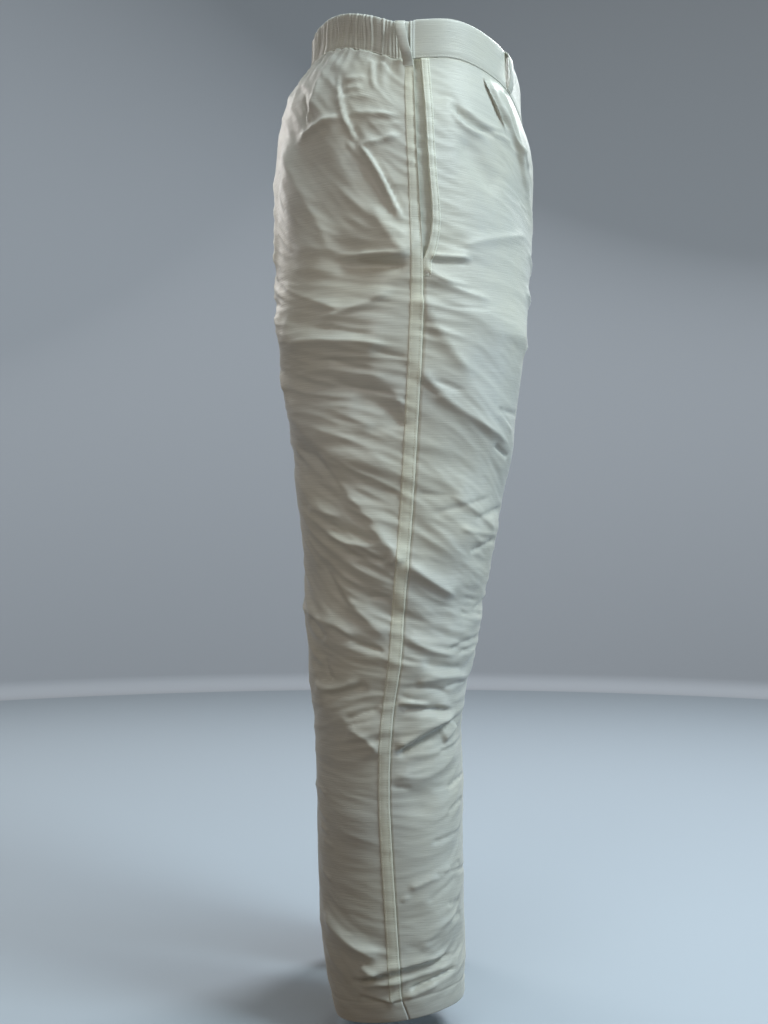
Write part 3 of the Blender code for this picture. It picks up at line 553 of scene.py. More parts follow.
# Making meshes
def clothMesh(name, points, faces, places, material, thickness=None):
    # places are the cloth's own flat coordinates in metres, for the weave
    mesh = bpy.data.meshes.new(name)
    mesh.from_pydata(points.tolist(), [], faces)
    mesh.validate()
    uv = mesh.uv_layers.new(name="clothPlace")
    corners = np.empty(len(mesh.loops), np.int32)
    mesh.loops.foreach_get("vertex_index", corners)
    uv.data.foreach_set("uv", places[corners].astype(np.float32).ravel())
    mesh.shade_smooth()
    mesh.materials.append(material)
    piece = bpy.data.objects.new(name, mesh)
    bpy.context.scene.collection.objects.link(piece)
    if thickness:
        wall = piece.modifiers.new("wall", "SOLIDIFY")
        wall.thickness, wall.offset, wall.use_even_offset = thickness, -1.0, False
    return piece


def gridFaces(rows, columns, start=0, closed=False):
    faces = []
    for j in range(rows if closed else rows - 1):
        upper, lower = start + j * columns, start + (j + 1) % rows * columns
        faces += [(upper + i, lower + i, lower + i + 1, upper + i + 1) for i in range(columns - 1)]
    return faces


def outward(points, faces, side):
    # turns the faces so that most look away from the middle line of the leg
    corners = points[np.array(faces)]
    normals = np.cross(corners[:, 2] - corners[:, 0], corners[:, 3] - corners[:, 1])
    away = corners.mean(1) - [side * legMiddle[0], legMiddle[1], 0]
    away[:, 2] = 0
    return faces if (normals * away).sum() > 0 else [face[::-1] for face in faces]


def flatPlaces(around, level):
    return np.stack([around * halfGirth(level), level], -1).reshape(-1, 2)


# Leg panels
legMiddle = (0.09, 0.03)  # a leg's middle line: how far outwards and back
panelLook = {
    "seatColumns": int(76 * finish), "thighColumns": int(20 * finish),
    "seatRows": int(120 * finish), "legRows": int(372 * finish),
    "wall": 0.0011, "turnInGap": 0.0004, "pleatDraw": 0.45, "pleatPlace": 0.55,
    "hemRun": 0.0025,  # the leg's even rows end this far above the hem's stitches
    "hemSteps": (-0.0012, 0.0, 0.0012, 0.0030, 0.0065, 0.0100, 0.0135, 0.0170, 0.0197),
    # the hem is turned in: a tight bend, then a second layer up the inside
    "turnIn": (  # up from the hem, share of the two walls and their gap, drop
        (0.0, 0.2, -0.0008), (0.0, 0.6, -0.0011), (0.0, 1.0, -0.0006), (0.003, 1.0, 0.0),
        (0.008, 1.0, 0.0), (0.014, 1.0, 0.0), (0.020, 1.0, 0.0),
    ),
    "apart": 0.37,  # between the two sides' flat places
}


def mouthGape(level):
    return np.where(level > pocketMouth[0, 0], np.maximum(alongTable(pocketMouth, 1, level), 0), 0.0)


def panelPlaces(front, level, share):
    # the value of around at a share of the way from the outer seam: 0 to 1 to the centre seam,
    # and 1 to 2 on to the leg's inner seam
    edge = (trouserForm["seamGap"] / 2 + (mouthGape(level) if front else 0.0)) / halfGirth(level)
    seat = edge + (1 - edge) * np.minimum(share, 1)
    inner = innerLimit(front, np.minimum(level, trouserForm["crotch"])) - 1
    return seat + inner * np.maximum(share - 1, 0)


def panelGrid(front):
    look, form = panelLook, trouserForm
    shares = np.linspace(0, 1, look["seatColumns"] + 1)
    if front:  # columns draw together at the pleat
        place = look["pleatPlace"]
        draw = np.sin(2 * pi * (shares - place)) + np.sin(2 * pi * place)
        shares = shares - look["pleatDraw"] * draw / (2 * pi)
    thigh = 1 + np.linspace(0, 1, look["thighColumns"] + 1)[1:]
    top, corner = form["waistSeam"] - form["seamGap"] / 2, form["corner"]
    seatLevels = np.linspace(top, corner, look["seatRows"] + 1)[:-1]
    seatLevel, seatShare = np.meshgrid(seatLevels, shares, indexing="ij")
    allShares = np.concatenate([shares, thigh])
    curve = form["crotch"] + (corner - form["crotch"]) * np.linspace(0, 1, 200) ** 2
    ends = panelPlaces(front, np.full(len(thigh), form["crotch"]), thigh)
    tops = np.concatenate([
        np.full(len(shares), corner),
        np.interp(ends, innerLimit(front, curve)[::-1], curve[::-1]),
    ])
    tops[-1] = form["crotch"]
    down = np.linspace(0, 1, look["legRows"] + 1)[:, None]
    legLevel = tops + (hemTop + look["hemRun"] - tops) * down
    steps = hemTop - np.array(look["hemSteps"])
    hemLevel = np.repeat(np.append(steps, form["hem"])[:, None], len(allShares), 1)
    legLevel = np.concatenate([legLevel, hemLevel])
    legShare = np.broadcast_to(allShares, legLevel.shape)
    sign = 1 if front else -1
    return [(sign * panelPlaces(front, level, share), level)
            for level, share in ((seatLevel, seatShare), (legLevel, legShare))]


def legPanel(side, front, material):
    look, form = panelLook, trouserForm
    name = ("front" if front else "back") + sideWords[side].capitalize()
    (seatAround, seatLevel), (legAround, legLevel) = panelGrid(front)
    seat = wornCloth(side, seatAround, seatLevel)
    seat[:, -1, 0] = side * form["seamGap"] / 2
    leg = wornCloth(side, legAround, legLevel)
    crown = seatAround.shape[1] - 1
    leg[0, crown:, 0] = side * form["seamGap"] / 2
    deep = -(2 * look["wall"] + look["turnInGap"])
    turned = []
    for up, share, drop in look["turnIn"]:
        level = legLevel[-1] + up
        row = wornCloth(side, legAround[-1], level, deep * share)
        row[:, 2] += drop
        turned.append(row)
    sew = (-1 if front else 1) * form["seamGap"] / 2
    grid = np.concatenate([leg, np.array(turned)])
    seamLine = legOval(np.concatenate([legLevel[:, -1], [legLevel[-1, -1]] * len(turned)]))[3]
    grid[:, -1, 1] = seamLine + sew
    points = np.concatenate([seat.reshape(-1, 3), grid.reshape(-1, 3)])
    rows, columns = grid.shape[:2]
    seatRows, seatColumns = seat.shape[:2]
    start = seatRows * seatColumns
    faces = gridFaces(seatRows, seatColumns)
    last = (seatRows - 1) * seatColumns
    faces += [(last + i, start + i, start + i + 1, last + i + 1) for i in range(seatColumns - 1)]
    faces += gridFaces(rows, columns, start)
    faces = outward(points, faces, side)
    flat = [flatPlaces(seatAround, seatLevel), flatPlaces(legAround, legLevel)]
    flat += [flat[1][-columns:] - [0, mm + up] for up, _, _ in look["turnIn"]]
    flat = np.concatenate(flat) + [look["apart"] * side, 0]
    return clothMesh(name, points, faces, flat, material, look["wall"])


# Strips, waistband, pockets and belt loops
seamLook = {
    "rows": int(330 * finish), "puckers": 0.00010, "pitches": (0.0083, 0.0117, 0.0191), "wall": 0.0006,
    "puckerSeed": 3, "puckerRuns": (1.6, 0.9, 37),  # middle strength, its swing, how often it swings
    "flatPlace": (0.9, 0.1),  # where the strips lie in the cloth's flat places
    "profile": [  # how far in front of the outer seam, lift, in millimetres; the two dips hold the stitches
        (-10.9, -0.35), (-10.8, 0.40), (-10.4, 0.80), (-9.6, 0.95), (-8.9, 0.84), (-8.2, 0.98), (-5.4, 1.08),
        (-2.7, 0.95), (-2.0, 0.80), (-1.3, 0.90), (-0.5, 0.82), (0.1, 0.38), (0.2, -0.35),
    ],
}
pocketLook = {
    "rows": int(90 * finish), "below": 0.015, "wall": 0.0006, "puckers": 0.00012,
    "lift": 0.16, "liftFade": 0.012,  # the cloth stands off beside the open mouth
    "profile": [  # how far in front of the front panel's edge, lift, in millimetres
        (9.5, -0.30), (9.4, 0.45), (9.0, 0.90), (8.1, 1.00), (7.4, 0.72), (6.7, 1.00), (4.5, 1.10),
        (2.4, 1.00), (1.7, 0.72), (1.0, 1.05), (0.2, 0.95), (-0.5, 0.40), (-0.8, -0.50), (-0.6, -1.40),
        (0.2, -1.90), (2.0, -2.10), (6.0, -2.10),
    ],
    "facing": [-4.5, -2.0, 0.5, 3.0, 5.5, 8.0, 10.5, 13.0, 16.0, 20.0, 24.0],
    "facingDepth": 0.0036, "facingEdge": 0.0024, "underBand": 0.005,
}
bandLook = {
    "frontColumns": int(150 * finish), "gatherColumns": 9,
    "profile": [  # level from the waist seam, lift, in millimetres, round the doubled band
        (0.1, 0.1), (0.6, 0.7), (1.4, 0.95), (2.2, 0.62), (3.0, 0.95), (8.0, 1.10), (14.0, 1.20),
        (20.0, 1.20), (27.0, 1.20), (33.0, 1.10), (37.5, 1.00), (39.6, 0.70), (40.6, 0.10),
        (40.8, -0.60), (40.4, -1.20), (39.0, -1.45), (30.0, -1.45), (20.0, -1.45), (10.0, -1.45),
        (1.0, -1.40), (0.2, -0.90),
    ],
    "dip": 0.0011, "dipFrom": 36, "dipOver": 5,  # the top edge dips in the valleys
    "ridgeLift": 0.9, "ridgeShares": (-0.35, 1),  # the ridges grow with the lift, and turn round inside
}
loopLook = {
    "width": 0.0105, "thickness": 0.0013, "steps": int(44 * finish) + 6,
    "section": [  # across, up, as shares of half the width and of the thickness
        (-1, 0.25), (-0.97, 0.75), (-0.86, 0.97), (-0.70, 0.86), (-0.45, 1.0), (0, 1.03), (0.45, 1.0),
        (0.70, 0.86), (0.86, 0.97), (0.97, 0.75), (1, 0.25), (0.9, 0.0), (0, 0.0), (-0.9, 0.0),
    ],
    "sidePath": [  # around, level, lift
        (-0.080, 0.0188, 0.0032), (-0.078, 0.0168, 0.0066), (-0.072, 0.0110, 0.0098),
        (-0.063, 0.0030, 0.0116), (-0.053, -0.0060, 0.0120), (-0.043, -0.0140, 0.0113),
        (-0.036, -0.0195, 0.0092), (-0.032, -0.0235, 0.0060), (-0.030, -0.0265, 0.0034),
        (-0.029, -0.0292, 0.0018),
    ],
    "frontPath": [
        (0.66, 0.0186, 0.0014), (0.66, 0.0165, 0.0042), (0.66, 0.0110, 0.0064), (0.66, 0.0030, 0.0073),
        (0.66, -0.0060, 0.0073), (0.66, -0.0130, 0.0062), (0.66, -0.0180, 0.0042), (0.66, -0.0205, 0.0020),
    ],
}


def stripPlaces(rows, top, bottom, profile, edge=None):
    # the profile runs down the outer seam, or down an edge that stands off it
    level = np.repeat(np.linspace(top, bottom, rows)[:, None], len(profile), 1)
    off, lift = np.array(profile).T * mm
    around = ((edge(level) if edge else 0.0) + off) / halfGirth(level)
    return around, level, np.broadcast_to(lift, level.shape)


def stripMesh(name, side, around, level, lift, material, wall, puckers=0.0):
    if puckers:
        # short puckers across the strip, where its stitches draw the cloth in
        chance = np.random.default_rng(seamLook["puckerSeed"] + side)
        middle, swing, often = seamLook["puckerRuns"]
        waves = sum(np.sin(2 * pi * level / pitch + chance.uniform(0, 6)) for pitch in seamLook["pitches"])
        strength = np.clip(middle + swing * np.sin(level * often), 0, 2)
        lift = lift + puckers * waves * strength / 2 * (lift > 0)
    points = wornCloth(side, around, level, lift).reshape(-1, 3)
    faces = outward(points, gridFaces(*around.shape), side)
    first, apart = seamLook["flatPlace"]
    flat = flatPlaces(around, level) + [first + apart * side, 0]
    return clothMesh(name + sideWords[side].capitalize(), points, faces, flat, material, wall)


def sideSeam(side, material):
    form, look = trouserForm, seamLook
    top = form["waistSeam"] - form["seamGap"]
    around, level, lift = stripPlaces(look["rows"], top, hemTop, look["profile"])
    return stripMesh("sideSeam", side, around, level, lift, material, look["wall"], look["puckers"])


def pocketSpan():
    return trouserForm["waistSeam"] - trouserForm["seamGap"], pocketMouth[0, 0] - pocketLook["below"]


def pocketEdge(side, material):
    around, level, lift = stripPlaces(pocketLook["rows"], *pocketSpan(), pocketLook["profile"], mouthGape)
    foot = smoothStep((level - level.min()) / pocketLook["below"])
    lift = lift * foot - np.where(lift > 0, 0.0004, 0.0006) * (1 - foot)  # the foot sinks into the panel
    look = pocketLook
    return stripMesh("pocketEdge", side, around, level, lift, material, look["wall"], look["puckers"])


def pocketFacing(side, material):
    profile = [(off, -pocketLook["facingDepth"] * 1000) for off in pocketLook["facing"]]
    top, bottom = pocketSpan()
    top += pocketLook["underBand"]  # it runs up behind the waistband
    around, level, lift = stripPlaces(pocketLook["rows"], top, bottom, profile)
    shallow = smoothStep((around * halfGirth(level) + 0.006) / 0.008)
    edge = pocketLook["facingEdge"]
    lift = -edge + (lift + edge) * shallow - pocketLift(around, level) * (around > 0)
    return stripMesh("pocketFacing", side, around, level, lift, material, pocketLook["wall"])


def closedSweep(name, grid, flat, material):
    # a tube whose section runs down the rows and closes, with its two ends capped
    rows, columns = grid.shape[:2]
    points = grid.reshape(-1, 3)
    faces = gridFaces(rows, columns, closed=True)
    faces.append(tuple(j * columns for j in range(rows)))
    faces.append(tuple(j * columns + columns - 1 for j in reversed(range(rows))))
    a, b, c = points[np.array([f[:3] for f in faces[:-2]])].transpose(1, 0, 2)
    if (np.cross(a, b) * c).sum() < 0:  # the volume comes out negative where the faces look inwards
        faces = [face[::-1] for face in faces]
    return clothMesh(name, points, faces, flat.reshape(-1, 2), material)


def waistband(name, places, wave, material):
    # places run from one outer seam over the middle to the other; wave lifts the elastic half's ridges
    look = bandLook
    around = np.concatenate([places, places[-2::-1]])
    sides = np.where(np.arange(len(around)) < len(places), right, left)
    grid, flat = [], []
    for up, lift in look["profile"]:
        level = np.full(len(around), trouserForm["waistSeam"] + up * mm)
        lifts = np.full(len(around), lift * mm)
        if wave:
            ridges = wave(around, sides, up)
            lifts = lifts + ridges * np.clip(lift / look["ridgeLift"], *look["ridgeShares"])
            if up > look["dipFrom"]:
                valley = 1 - ridges / gatherLook["elasticHeight"]
                level = level - look["dip"] * valley * (up - look["dipFrom"]) / look["dipOver"]
        points = smoothCloth(around, level, lifts)
        points[:, 0] *= sides
        grid.append(points)
        flat.append(np.stack([around * sides * 0.25 + (0.3 if lift < 0 else 0), level], -1))
    return closedSweep(name, np.array(grid), np.array(flat), material)


def elasticWave(around, sides, up):
    look, count = gatherLook, gatherLook["elasticGathers"]
    size, upOften, roundOften = look["slant"]
    slant = size * np.sin(up * upOften + np.abs(around) * roundOften)
    slant = slant * np.sin(pi * np.clip(np.abs(around), 0, 1))
    wave = np.zeros_like(around)
    for side in (right, left):
        place = np.clip(np.abs(around) * count + slant, 0, count * 0.9999)
        heights, _ = gatherWave(place, look["elasticSeed"] + side, look["elasticLowest"])
        wave = np.where(sides == side, heights, wave)
    fullest = np.sin(pi * np.clip(up / look["bandHeight"], 0, 1))
    return look["elasticHeight"] * wave * (0.75 + 0.25 * fullest)


def beltLoop(name, side, path, material):
    # a folded strip with rounded edges that stands off the band between its two ends
    look = loopLook
    path = np.array(path)
    at = np.concatenate([[0], np.cumsum(np.hypot(np.diff(path[:, 1]), np.diff(path[:, 2])))])
    table = np.column_stack([at, path])
    s = np.linspace(0, at[-1], look["steps"])
    around, level, lift = (alongTable(table, k, s) for k in (1, 2, 3))
    middle = smoothCloth(around, level, lift) * [side, 1, 1]
    across = 0.0008
    aside = smoothCloth(around + across, level, lift) * [side, 1, 1] - middle
    aside /= np.linalg.norm(aside, axis=1, keepdims=True)
    down = np.gradient(middle, axis=0)
    down /= np.linalg.norm(down, axis=1, keepdims=True)
    out = np.cross(aside, down) * -side
    out /= np.linalg.norm(out, axis=1, keepdims=True)
    half, thick = look["width"] / 2, look["thickness"]
    grid = np.array([middle + aside * half * u + out * thick * v for u, v in look["section"]])
    flat = np.array([np.stack([np.full(len(s), u * half + 0.02 * side), s], -1) for u, _ in look["section"]])
    return closedSweep(name, grid, flat, material), (middle, aside, out)


# Cloth and thread
silkLook = {
    "ivory": (0.79, 0.785, 0.680), "coolIvory": (0.745, 0.755, 0.690), "slubDark": 0.945,
    "slubs": (26.0, 820.0), "threads": (70.0, 2300.0), "warp": (2600.0, 60.0), "patches": 7.0,
    "roughness": (0.36, 0.50), "sheen": 0.30, "sheenRoughness": 0.35, "bump": 0.00014,
}
doubledTone = (1.13, 1.13, 1.08)  # doubled cloth looks warmer and a little lighter


def setSockets(node, values):
    for socket, value in values.items():
        node.inputs[socket].default_value = value


def addNode(tree, kind, options=None, **values):
    node = tree.nodes.new(kind)
    for option, value in (options or {}).items():
        setattr(node, option, value)
    setSockets(node, values)
    return node


def joinNodes(tree, *joins):
    for source, output, target, socket in joins:
        tree.links.new(source.outputs[output], target.inputs[socket])


def newMaterial(name):
    made = bpy.data.materials.new(name)
    made.use_nodes = True
    return made, made.node_tree, made.node_tree.nodes["Principled BSDF"]


def silkMaterial(name, tone=(1.0, 1.0, 1.0), roughnessAdd=0.0):
    look = silkLook
    made, tree, shader = newMaterial(name)
    place = addNode(tree, "ShaderNodeUVMap", {"uv_map": "clothPlace"})

    def streaks(scale, detail, seed):
        drawn = addNode(tree, "ShaderNodeMapping", Scale=(*scale, 1), Location=(seed, seed * 0.7, 0))
        noise = addNode(tree, "ShaderNodeTexNoise", {"noise_dimensions": "2D"},
                        Scale=1.0, Detail=detail, Roughness=0.6)
        joinNodes(tree, (place, "UV", drawn, "Vector"), (drawn, "Vector", noise, "Vector"))
        return noise

    def ramp(noise, low, high, first, second):
        ranged = addNode(tree, "ShaderNodeMapRange")
        setSockets(ranged, {"From Min": low, "From Max": high, "To Min": first, "To Max": second})
        joinNodes(tree, (noise, "Fac", ranged, "Value"))
        return ranged

    slubs, threads = streaks(look["slubs"], 3, 3.1), streaks(look["threads"], 1, 7.7)
    warp, patches = streaks(look["warp"], 1, 1.3), streaks((look["patches"], look["patches"]), 4, 5.9)

    # colour: two ivories in soft patches, darker in the slubs and between the threads
    ivory, cool = ((*[c * t for c, t in zip(look[key], tone)], 1) for key in ("ivory", "coolIvory"))
    colour = addNode(tree, "ShaderNodeMix", {"data_type": "RGBA"}, A=ivory, B=cool)
    shade = addNode(tree, "ShaderNodeMix", {"data_type": "RGBA", "blend_type": "MULTIPLY"}, Factor=1.0)
    both = addNode(tree, "ShaderNodeMath", {"operation": "MULTIPLY"})
    grey = addNode(tree, "ShaderNodeCombineColor")
    joinNodes(
        tree, (ramp(patches, 0.35, 0.68, 0.0, 1.0), "Result", colour, "Factor"),
        (ramp(slubs, 0.30, 0.62, look["slubDark"], 1.02), "Result", both, 0),
        (ramp(threads, 0.30, 0.70, 0.98, 1.01), "Result", both, 1),
        (both, 0, grey, "Red"), (both, 0, grey, "Green"), (both, 0, grey, "Blue"),
        (colour, "Result", shade, "A"), (grey, "Color", shade, "B"),
        (shade, "Result", shader, "Base Color"),
    )
    low, high = (value + roughnessAdd for value in look["roughness"])
    joinNodes(tree, (ramp(slubs, 0.30, 0.70, high, low), "Result", shader, "Roughness"))

    # relief: slubs, then threads, then the finer warp
    height, withWarp = (addNode(tree, "ShaderNodeMath", {"operation": "MULTIPLY_ADD"}) for _ in range(2))
    setSockets(height, {1: 1.6})
    setSockets(withWarp, {1: 0.35})
    bump = addNode(tree, "ShaderNodeBump", Strength=0.8, Distance=look["bump"])
    joinNodes(
        tree, (slubs, "Fac", height, 0), (threads, "Fac", height, 2), (warp, "Fac", withWarp, 0),
        (height, 0, withWarp, 2), (withWarp, 0, bump, "Height"), (bump, "Normal", shader, "Normal"),
    )
    setSockets(shader, {
        "Sheen Weight": look["sheen"], "Sheen Roughness": look["sheenRoughness"],
        "Sheen Tint": (0.95, 0.98, 1.0, 1), "Specular IOR Level": 0.55, "IOR": 1.5,
    })
    return made


threadLook = {
    "colour": (0.84, 0.83, 0.70), "darker": 0.88, "roughness": 0.5,
    "pitch": 0.0027, "length": 0.0020, "thickness": 0.00048, "seed": 4,
    # the rows' places from the strips' edges and their lifts
    "seamRows": (-0.0089, -0.0020), "seamLift": 0.00098, "mouthRows": (0.0074, 0.0017), "mouthLift": 0.00090,
    "hemLift": -0.00025, "footRow": 0.0022, "footLift": 0.00075, "loopRows": (-0.70, 0.70), "loopLift": 0.93,
}


def threadMaterial():
    look = threadLook
    made, tree, shader = newMaterial("sewingThread")
    dark = [c * look["darker"] for c in look["colour"]]
    place = addNode(tree, "ShaderNodeTexCoord")
    noise = addNode(tree, "ShaderNodeTexNoise", Scale=900)
    tone = addNode(tree, "ShaderNodeMix", {"data_type": "RGBA"}, A=(*look["colour"], 1), B=(*dark, 1))
    joinNodes(tree, (place, "Object", noise, "Vector"), (noise, "Fac", tone, "Factor"),
              (tone, "Result", shader, "Base Color"))
    setSockets(shader, {"Roughness": look["roughness"], "Sheen Weight": 0.2})
    return made


def stitchTree():
    # stitches laid along the lines of a curve, each a small spindle of thread
    tree = bpy.data.node_groups.new("stitchRow", "GeometryNodeTree")
    for name, kind in (("Geometry", "Geometry"), ("Pitch", "Float"), ("Length", "Float"),
                       ("Thickness", "Float"), ("Seed", "Int"), ("Thread", "Material")):
        tree.interface.new_socket(name, in_out="INPUT", socket_type="NodeSocket" + kind)
    tree.interface.new_socket("Geometry", in_out="OUTPUT", socket_type="NodeSocketGeometry")
    given, result = addNode(tree, "NodeGroupInput"), addNode(tree, "NodeGroupOutput")
    spread = addNode(tree, "GeometryNodeResampleCurve", {"mode": "LENGTH"})
    tangent = addNode(tree, "GeometryNodeInputTangent")
    turn = addNode(tree, "FunctionNodeAlignRotationToVector", {"axis": "X"})
    spindle = addNode(tree, "GeometryNodeMeshUVSphere", Segments=6, Rings=4)
    size, shape = addNode(tree, "ShaderNodeCombineXYZ"), addNode(tree, "GeometryNodeTransform")
    half = addNode(tree, "ShaderNodeVectorMath", {"operation": "SCALE"}, Scale=0.5)
    uneven = addNode(tree, "FunctionNodeRandomValue", {"data_type": "FLOAT"})
    setSockets(uneven, {2: 0.86, 3: 1.08})
    put = addNode(tree, "GeometryNodeInstanceOnPoints")
    real, paint = addNode(tree, "GeometryNodeRealizeInstances"), addNode(tree, "GeometryNodeSetMaterial")
    joinNodes(
        tree, (given, "Geometry", spread, "Curve"), (given, "Pitch", spread, "Length"),
        (given, "Length", size, "X"), (given, "Thickness", size, "Y"), (given, "Thickness", size, "Z"),
        (given, "Seed", uneven, "Seed"), (size, "Vector", half, 0), (half, "Vector", shape, "Scale"),
        (spindle, "Mesh", shape, "Geometry"), (tangent, "Tangent", turn, "Vector"),
        (spread, "Curve", put, "Points"), (shape, "Geometry", put, "Instance"),
        (turn, "Rotation", put, "Rotation"), (uneven, 1, put, "Scale"),
        (put, "Instances", real, "Geometry"), (real, "Geometry", paint, "Geometry"),
        (given, "Thread", paint, "Material"), (paint, "Geometry", result, "Geometry"),
    )
    return tree


def sewStitches(name, lines, tree, material):
    guide = bpy.data.curves.new(name + "Guide", "CURVE")
    guide.dimensions = "3D"
    for line in lines:
        spline = guide.splines.new("POLY")
        spline.points.add(len(line) - 1)
        spline.points.foreach_set("co", np.column_stack([line, np.ones(len(line))]).ravel())
    holder = bpy.data.objects.new(name + "Guide", guide)
    bpy.context.scene.collection.objects.link(holder)
    rows = holder.modifiers.new("stitches", "NODES")
    rows.node_group = tree
    given = {name.capitalize(): threadLook[name] for name in ("pitch", "length", "thickness", "seed")}
    given["Thread"] = material
    for item in tree.interface.items_tree:
        if item.item_type == "SOCKET" and item.in_out == "INPUT" and item.name in given:
            rows[item.identifier] = given[item.name]
    holder.update_tag()
    bpy.context.view_layer.update()
    graph = bpy.context.evaluated_depsgraph_get()
    mesh = bpy.data.meshes.new_from_object(holder.evaluated_get(graph), depsgraph=graph)
    bpy.data.objects.remove(holder)
    mesh.name = name
    mesh.shade_smooth()
    if not mesh.materials:
        mesh.materials.append(material)
    sewn = bpy.data.objects.new(name, mesh)
    bpy.context.scene.collection.objects.link(sewn)
    print(name, len(mesh.polygons), "faces")
    return sewn


def stitchLines(side):
    # where thread shows: seam strips, pocket edges, the waistband's foot and the hem
    form, look = trouserForm, threadLook

    def line(around, level, lift):
        return wornCloth(side, around, level, np.full(np.shape(level), lift))

    seam = np.linspace(form["waistSeam"] - 2 * mm, hemTop + mm, 420)
    lines = [line(off / halfGirth(seam), seam, look["seamLift"]) for off in look["seamRows"]]
    mouth = np.linspace(*pocketSpan(), 110)
    lines += [line((mouthGape(mouth) + off) / halfGirth(mouth), mouth, look["mouthLift"])
              for off in look["mouthRows"]]
    for front in (True, False):
        share = np.linspace(0.002, 1.999, 260)
        level = np.full(len(share), hemTop)
        lines.append(line(panelPlaces(front, level, share) * (1 if front else -1), level, look["hemLift"]))
    around = np.linspace(0.004, 0.998, 160)
    foot, lift = np.full(160, form["waistSeam"] + look["footRow"]), np.full(160, look["footLift"])
    lines.append(smoothCloth(around, foot, lift) * [side, 1, 1])
    return lines


# Making the pieces
silk = silkMaterial("ivorySilk")
doubledSilk = silkMaterial("doubledSilk", doubledTone, 0.03)
thread = threadMaterial()
pieces = {}
threadLines = []
for side, word in sideWords.items():
    pieces["front_" + word] = legPanel(side, True, silk)
    pieces["back_" + word] = legPanel(side, False, silk)
    print("leg panels", word)
    pieces["side_seam_" + word] = sideSeam(side, doubledSilk)
    pieces["pocket_edge_" + word] = pocketEdge(side, doubledSilk)
    pieces["pocket_facing_" + word] = pocketFacing(side, silk)
    threadLines += stitchLines(side)
    for place, path in (("side", loopLook["sidePath"]), ("front", loopLook["frontPath"])):
        name = "beltLoop" + place.capitalize() + word.capitalize()
        loop, (middle, aside, out) = beltLoop(name, side, path, silk)
        pieces[f"belt_loop_{place}_{word}"] = loop
        rise = out * loopLook["thickness"] * threadLook["loopLift"]
        for u in threadLook["loopRows"]:
            threadLines.append((middle + aside * u * loopLook["width"] / 2 + rise)[2:-2])
seamAway = trouserForm["seamGap"] / 2 / halfGirth(np.array(0.0))
frontPlaces = np.linspace(float(seamAway), 1, bandLook["frontColumns"] // 2)
pieces["waistband_front"] = waistband("waistbandFront", frontPlaces, None, silk)
backCount = gatherLook["elasticGathers"] * max(4, int(bandLook["gatherColumns"] * finish)) + 1
backPlaces = -np.linspace(float(seamAway), 1, backCount)
pieces["waistband_back"] = waistband("waistbandBack", backPlaces, elasticWave, silk)
print("waistband, seams, pockets and belt loops")
stitches = sewStitches("stitches", threadLines, stitchTree(), thread)


# Floor, backdrop, light and camera
stageLook = {
    "floorLevel": -1.0290, "radius": 2.75, "height": 2.9, "cove": 0.05,
    "floorColour": (0.46, 0.53, 0.60), "wallColour": (0.60, 0.64, 0.705),
    "worldColour": (0.138, 0.108, 0.086), "worldStrength": 0.60,
}
lightLook = [  # name, place, what it points at, size, power, colour, spread in degrees
    ("key", (-0.98, -1.40, 1.15), (0.0, 0.0, -0.45), 0.8, 28, (0.80, 0.95, 1.0), 180),
    ("lowWindow", (-0.6, -2.0, -0.45), (0.0, 0.0, -0.80), 0.9, 9, (0.56, 0.78, 1.0), 180),
    ("backSoft", (1.9, 1.4, 0.7), (0.0, 0.0, -0.4), 1.2, 14, (1.0, 0.97, 0.93), 180),
    ("roomFill", (-1.5, 0.7, 0.30), (0.0, 0.0, -0.40), 0.8, 0.45, (1.0, 0.97, 0.93), 50),
    ("overhead", (-0.3, -0.2, 2.0), (0.0, 0.0, -0.6), 1.2, 20, (0.76, 0.93, 1.0), 180),
    ("farSide", (1.7, -1.0, 1.2), (0.0, 0.0, -0.4), 1.0, 40, (0.95, 0.98, 1.0), 180),
]


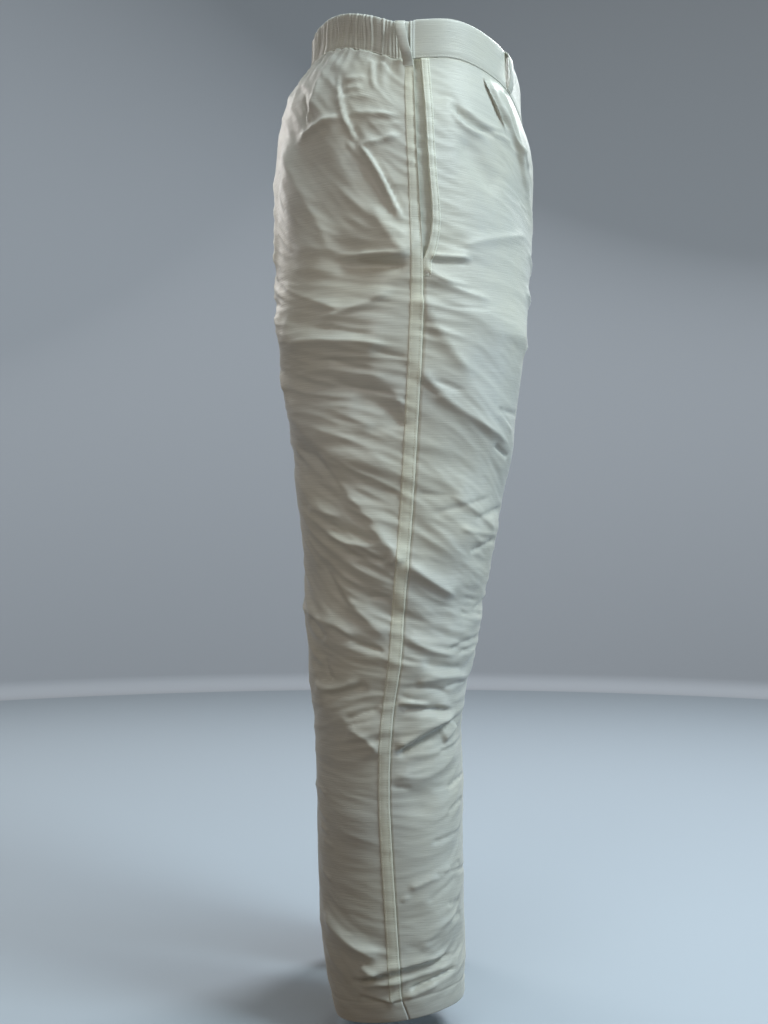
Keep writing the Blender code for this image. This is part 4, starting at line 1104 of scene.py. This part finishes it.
def makeStage():
    # a round floor that turns up into a round backdrop, alike from every side
    look = stageLook
    cove = [(look["radius"] - look["cove"] * (1 - np.sin(t)), look["cove"] * (1 - np.cos(t)))
            for t in np.linspace(0, pi / 2, 7)]
    profile = [(0.6, 0.0), (1.6, 0.0)] + cove + [(look["radius"], look["height"])]
    turns = np.linspace(0, 2 * pi, 129)[:-1]
    points = [(r * np.cos(t), r * np.sin(t), look["floorLevel"] + z) for r, z in profile for t in turns]
    count = len(turns)
    rings = [tuple(range(count))]
    for row in range(len(profile) - 1):
        low, high = row * count, (row + 1) * count
        for k in range(count):
            n = (k + 1) % count
            rings.append((high + k, high + n, low + n, low + k))
    mesh = bpy.data.meshes.new("backdrop")
    mesh.from_pydata(points, [], rings)
    for name, key in (("paleFloor", "floorColour"), ("paleWall", "wallColour")):
        made, _, shader = newMaterial(name)
        setSockets(shader, {"Base Color": (*look[key], 1), "Roughness": 0.6})
        mesh.materials.append(made)
    for face in mesh.polygons:
        face.material_index = int(face.index > count * 2)
        face.use_smooth = face.index > 0
    backdrop = bpy.data.objects.new("backdrop", mesh)
    bpy.context.scene.collection.objects.link(backdrop)
    backdrop.visible_diffuse = backdrop.visible_shadow = False  # it takes light but throws none on the cloth
    world = bpy.data.worlds.new("studio")
    world.use_nodes = True
    back = world.node_tree.nodes["Background"]
    back.inputs["Color"].default_value = (*look["worldColour"], 1)
    back.inputs["Strength"].default_value = look["worldStrength"]
    bpy.context.scene.world = world


def pointAt(thing, target):
    toward = Vector(target) - thing.location
    thing.rotation_euler = toward.to_track_quat("-Z", "Y").to_euler()


def makeLights():
    for name, place, target, size, power, colour, spread in lightLook:
        light = bpy.data.lights.new(name, "AREA")
        light.shape, light.size, light.energy, light.color = "DISK", size, power, colour
        light.spread = np.radians(spread)
        lamp = bpy.data.objects.new(name, light)
        lamp.location = place
        bpy.context.scene.collection.objects.link(lamp)
        pointAt(lamp, target)


cameraLook = {"place": (-1.600, 0.035, -0.484), "turn": (90, 0, -90), "pixels": 1401, "longSide": 1024}


def makeCamera():
    lens = bpy.data.cameras.new("camera")
    lens.sensor_width = 36.0
    lens.lens = cameraLook["pixels"] / cameraLook["longSide"] * lens.sensor_width
    lens.clip_start, lens.clip_end = 0.05, 50
    seen = bpy.data.objects.new("camera", lens)
    seen.location = cameraLook["place"]
    seen.rotation_euler = [radians(turn) for turn in cameraLook["turn"]]
    bpy.context.scene.collection.objects.link(seen)
    bpy.context.scene.camera = seen


makeStage()
makeLights()
makeCamera()
bpy.context.scene.view_settings.view_transform = "Standard"

# What each piece stands for
for node, piece in pieces.items():
    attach(piece, "root")
    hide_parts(node)
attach(stitches, "root")
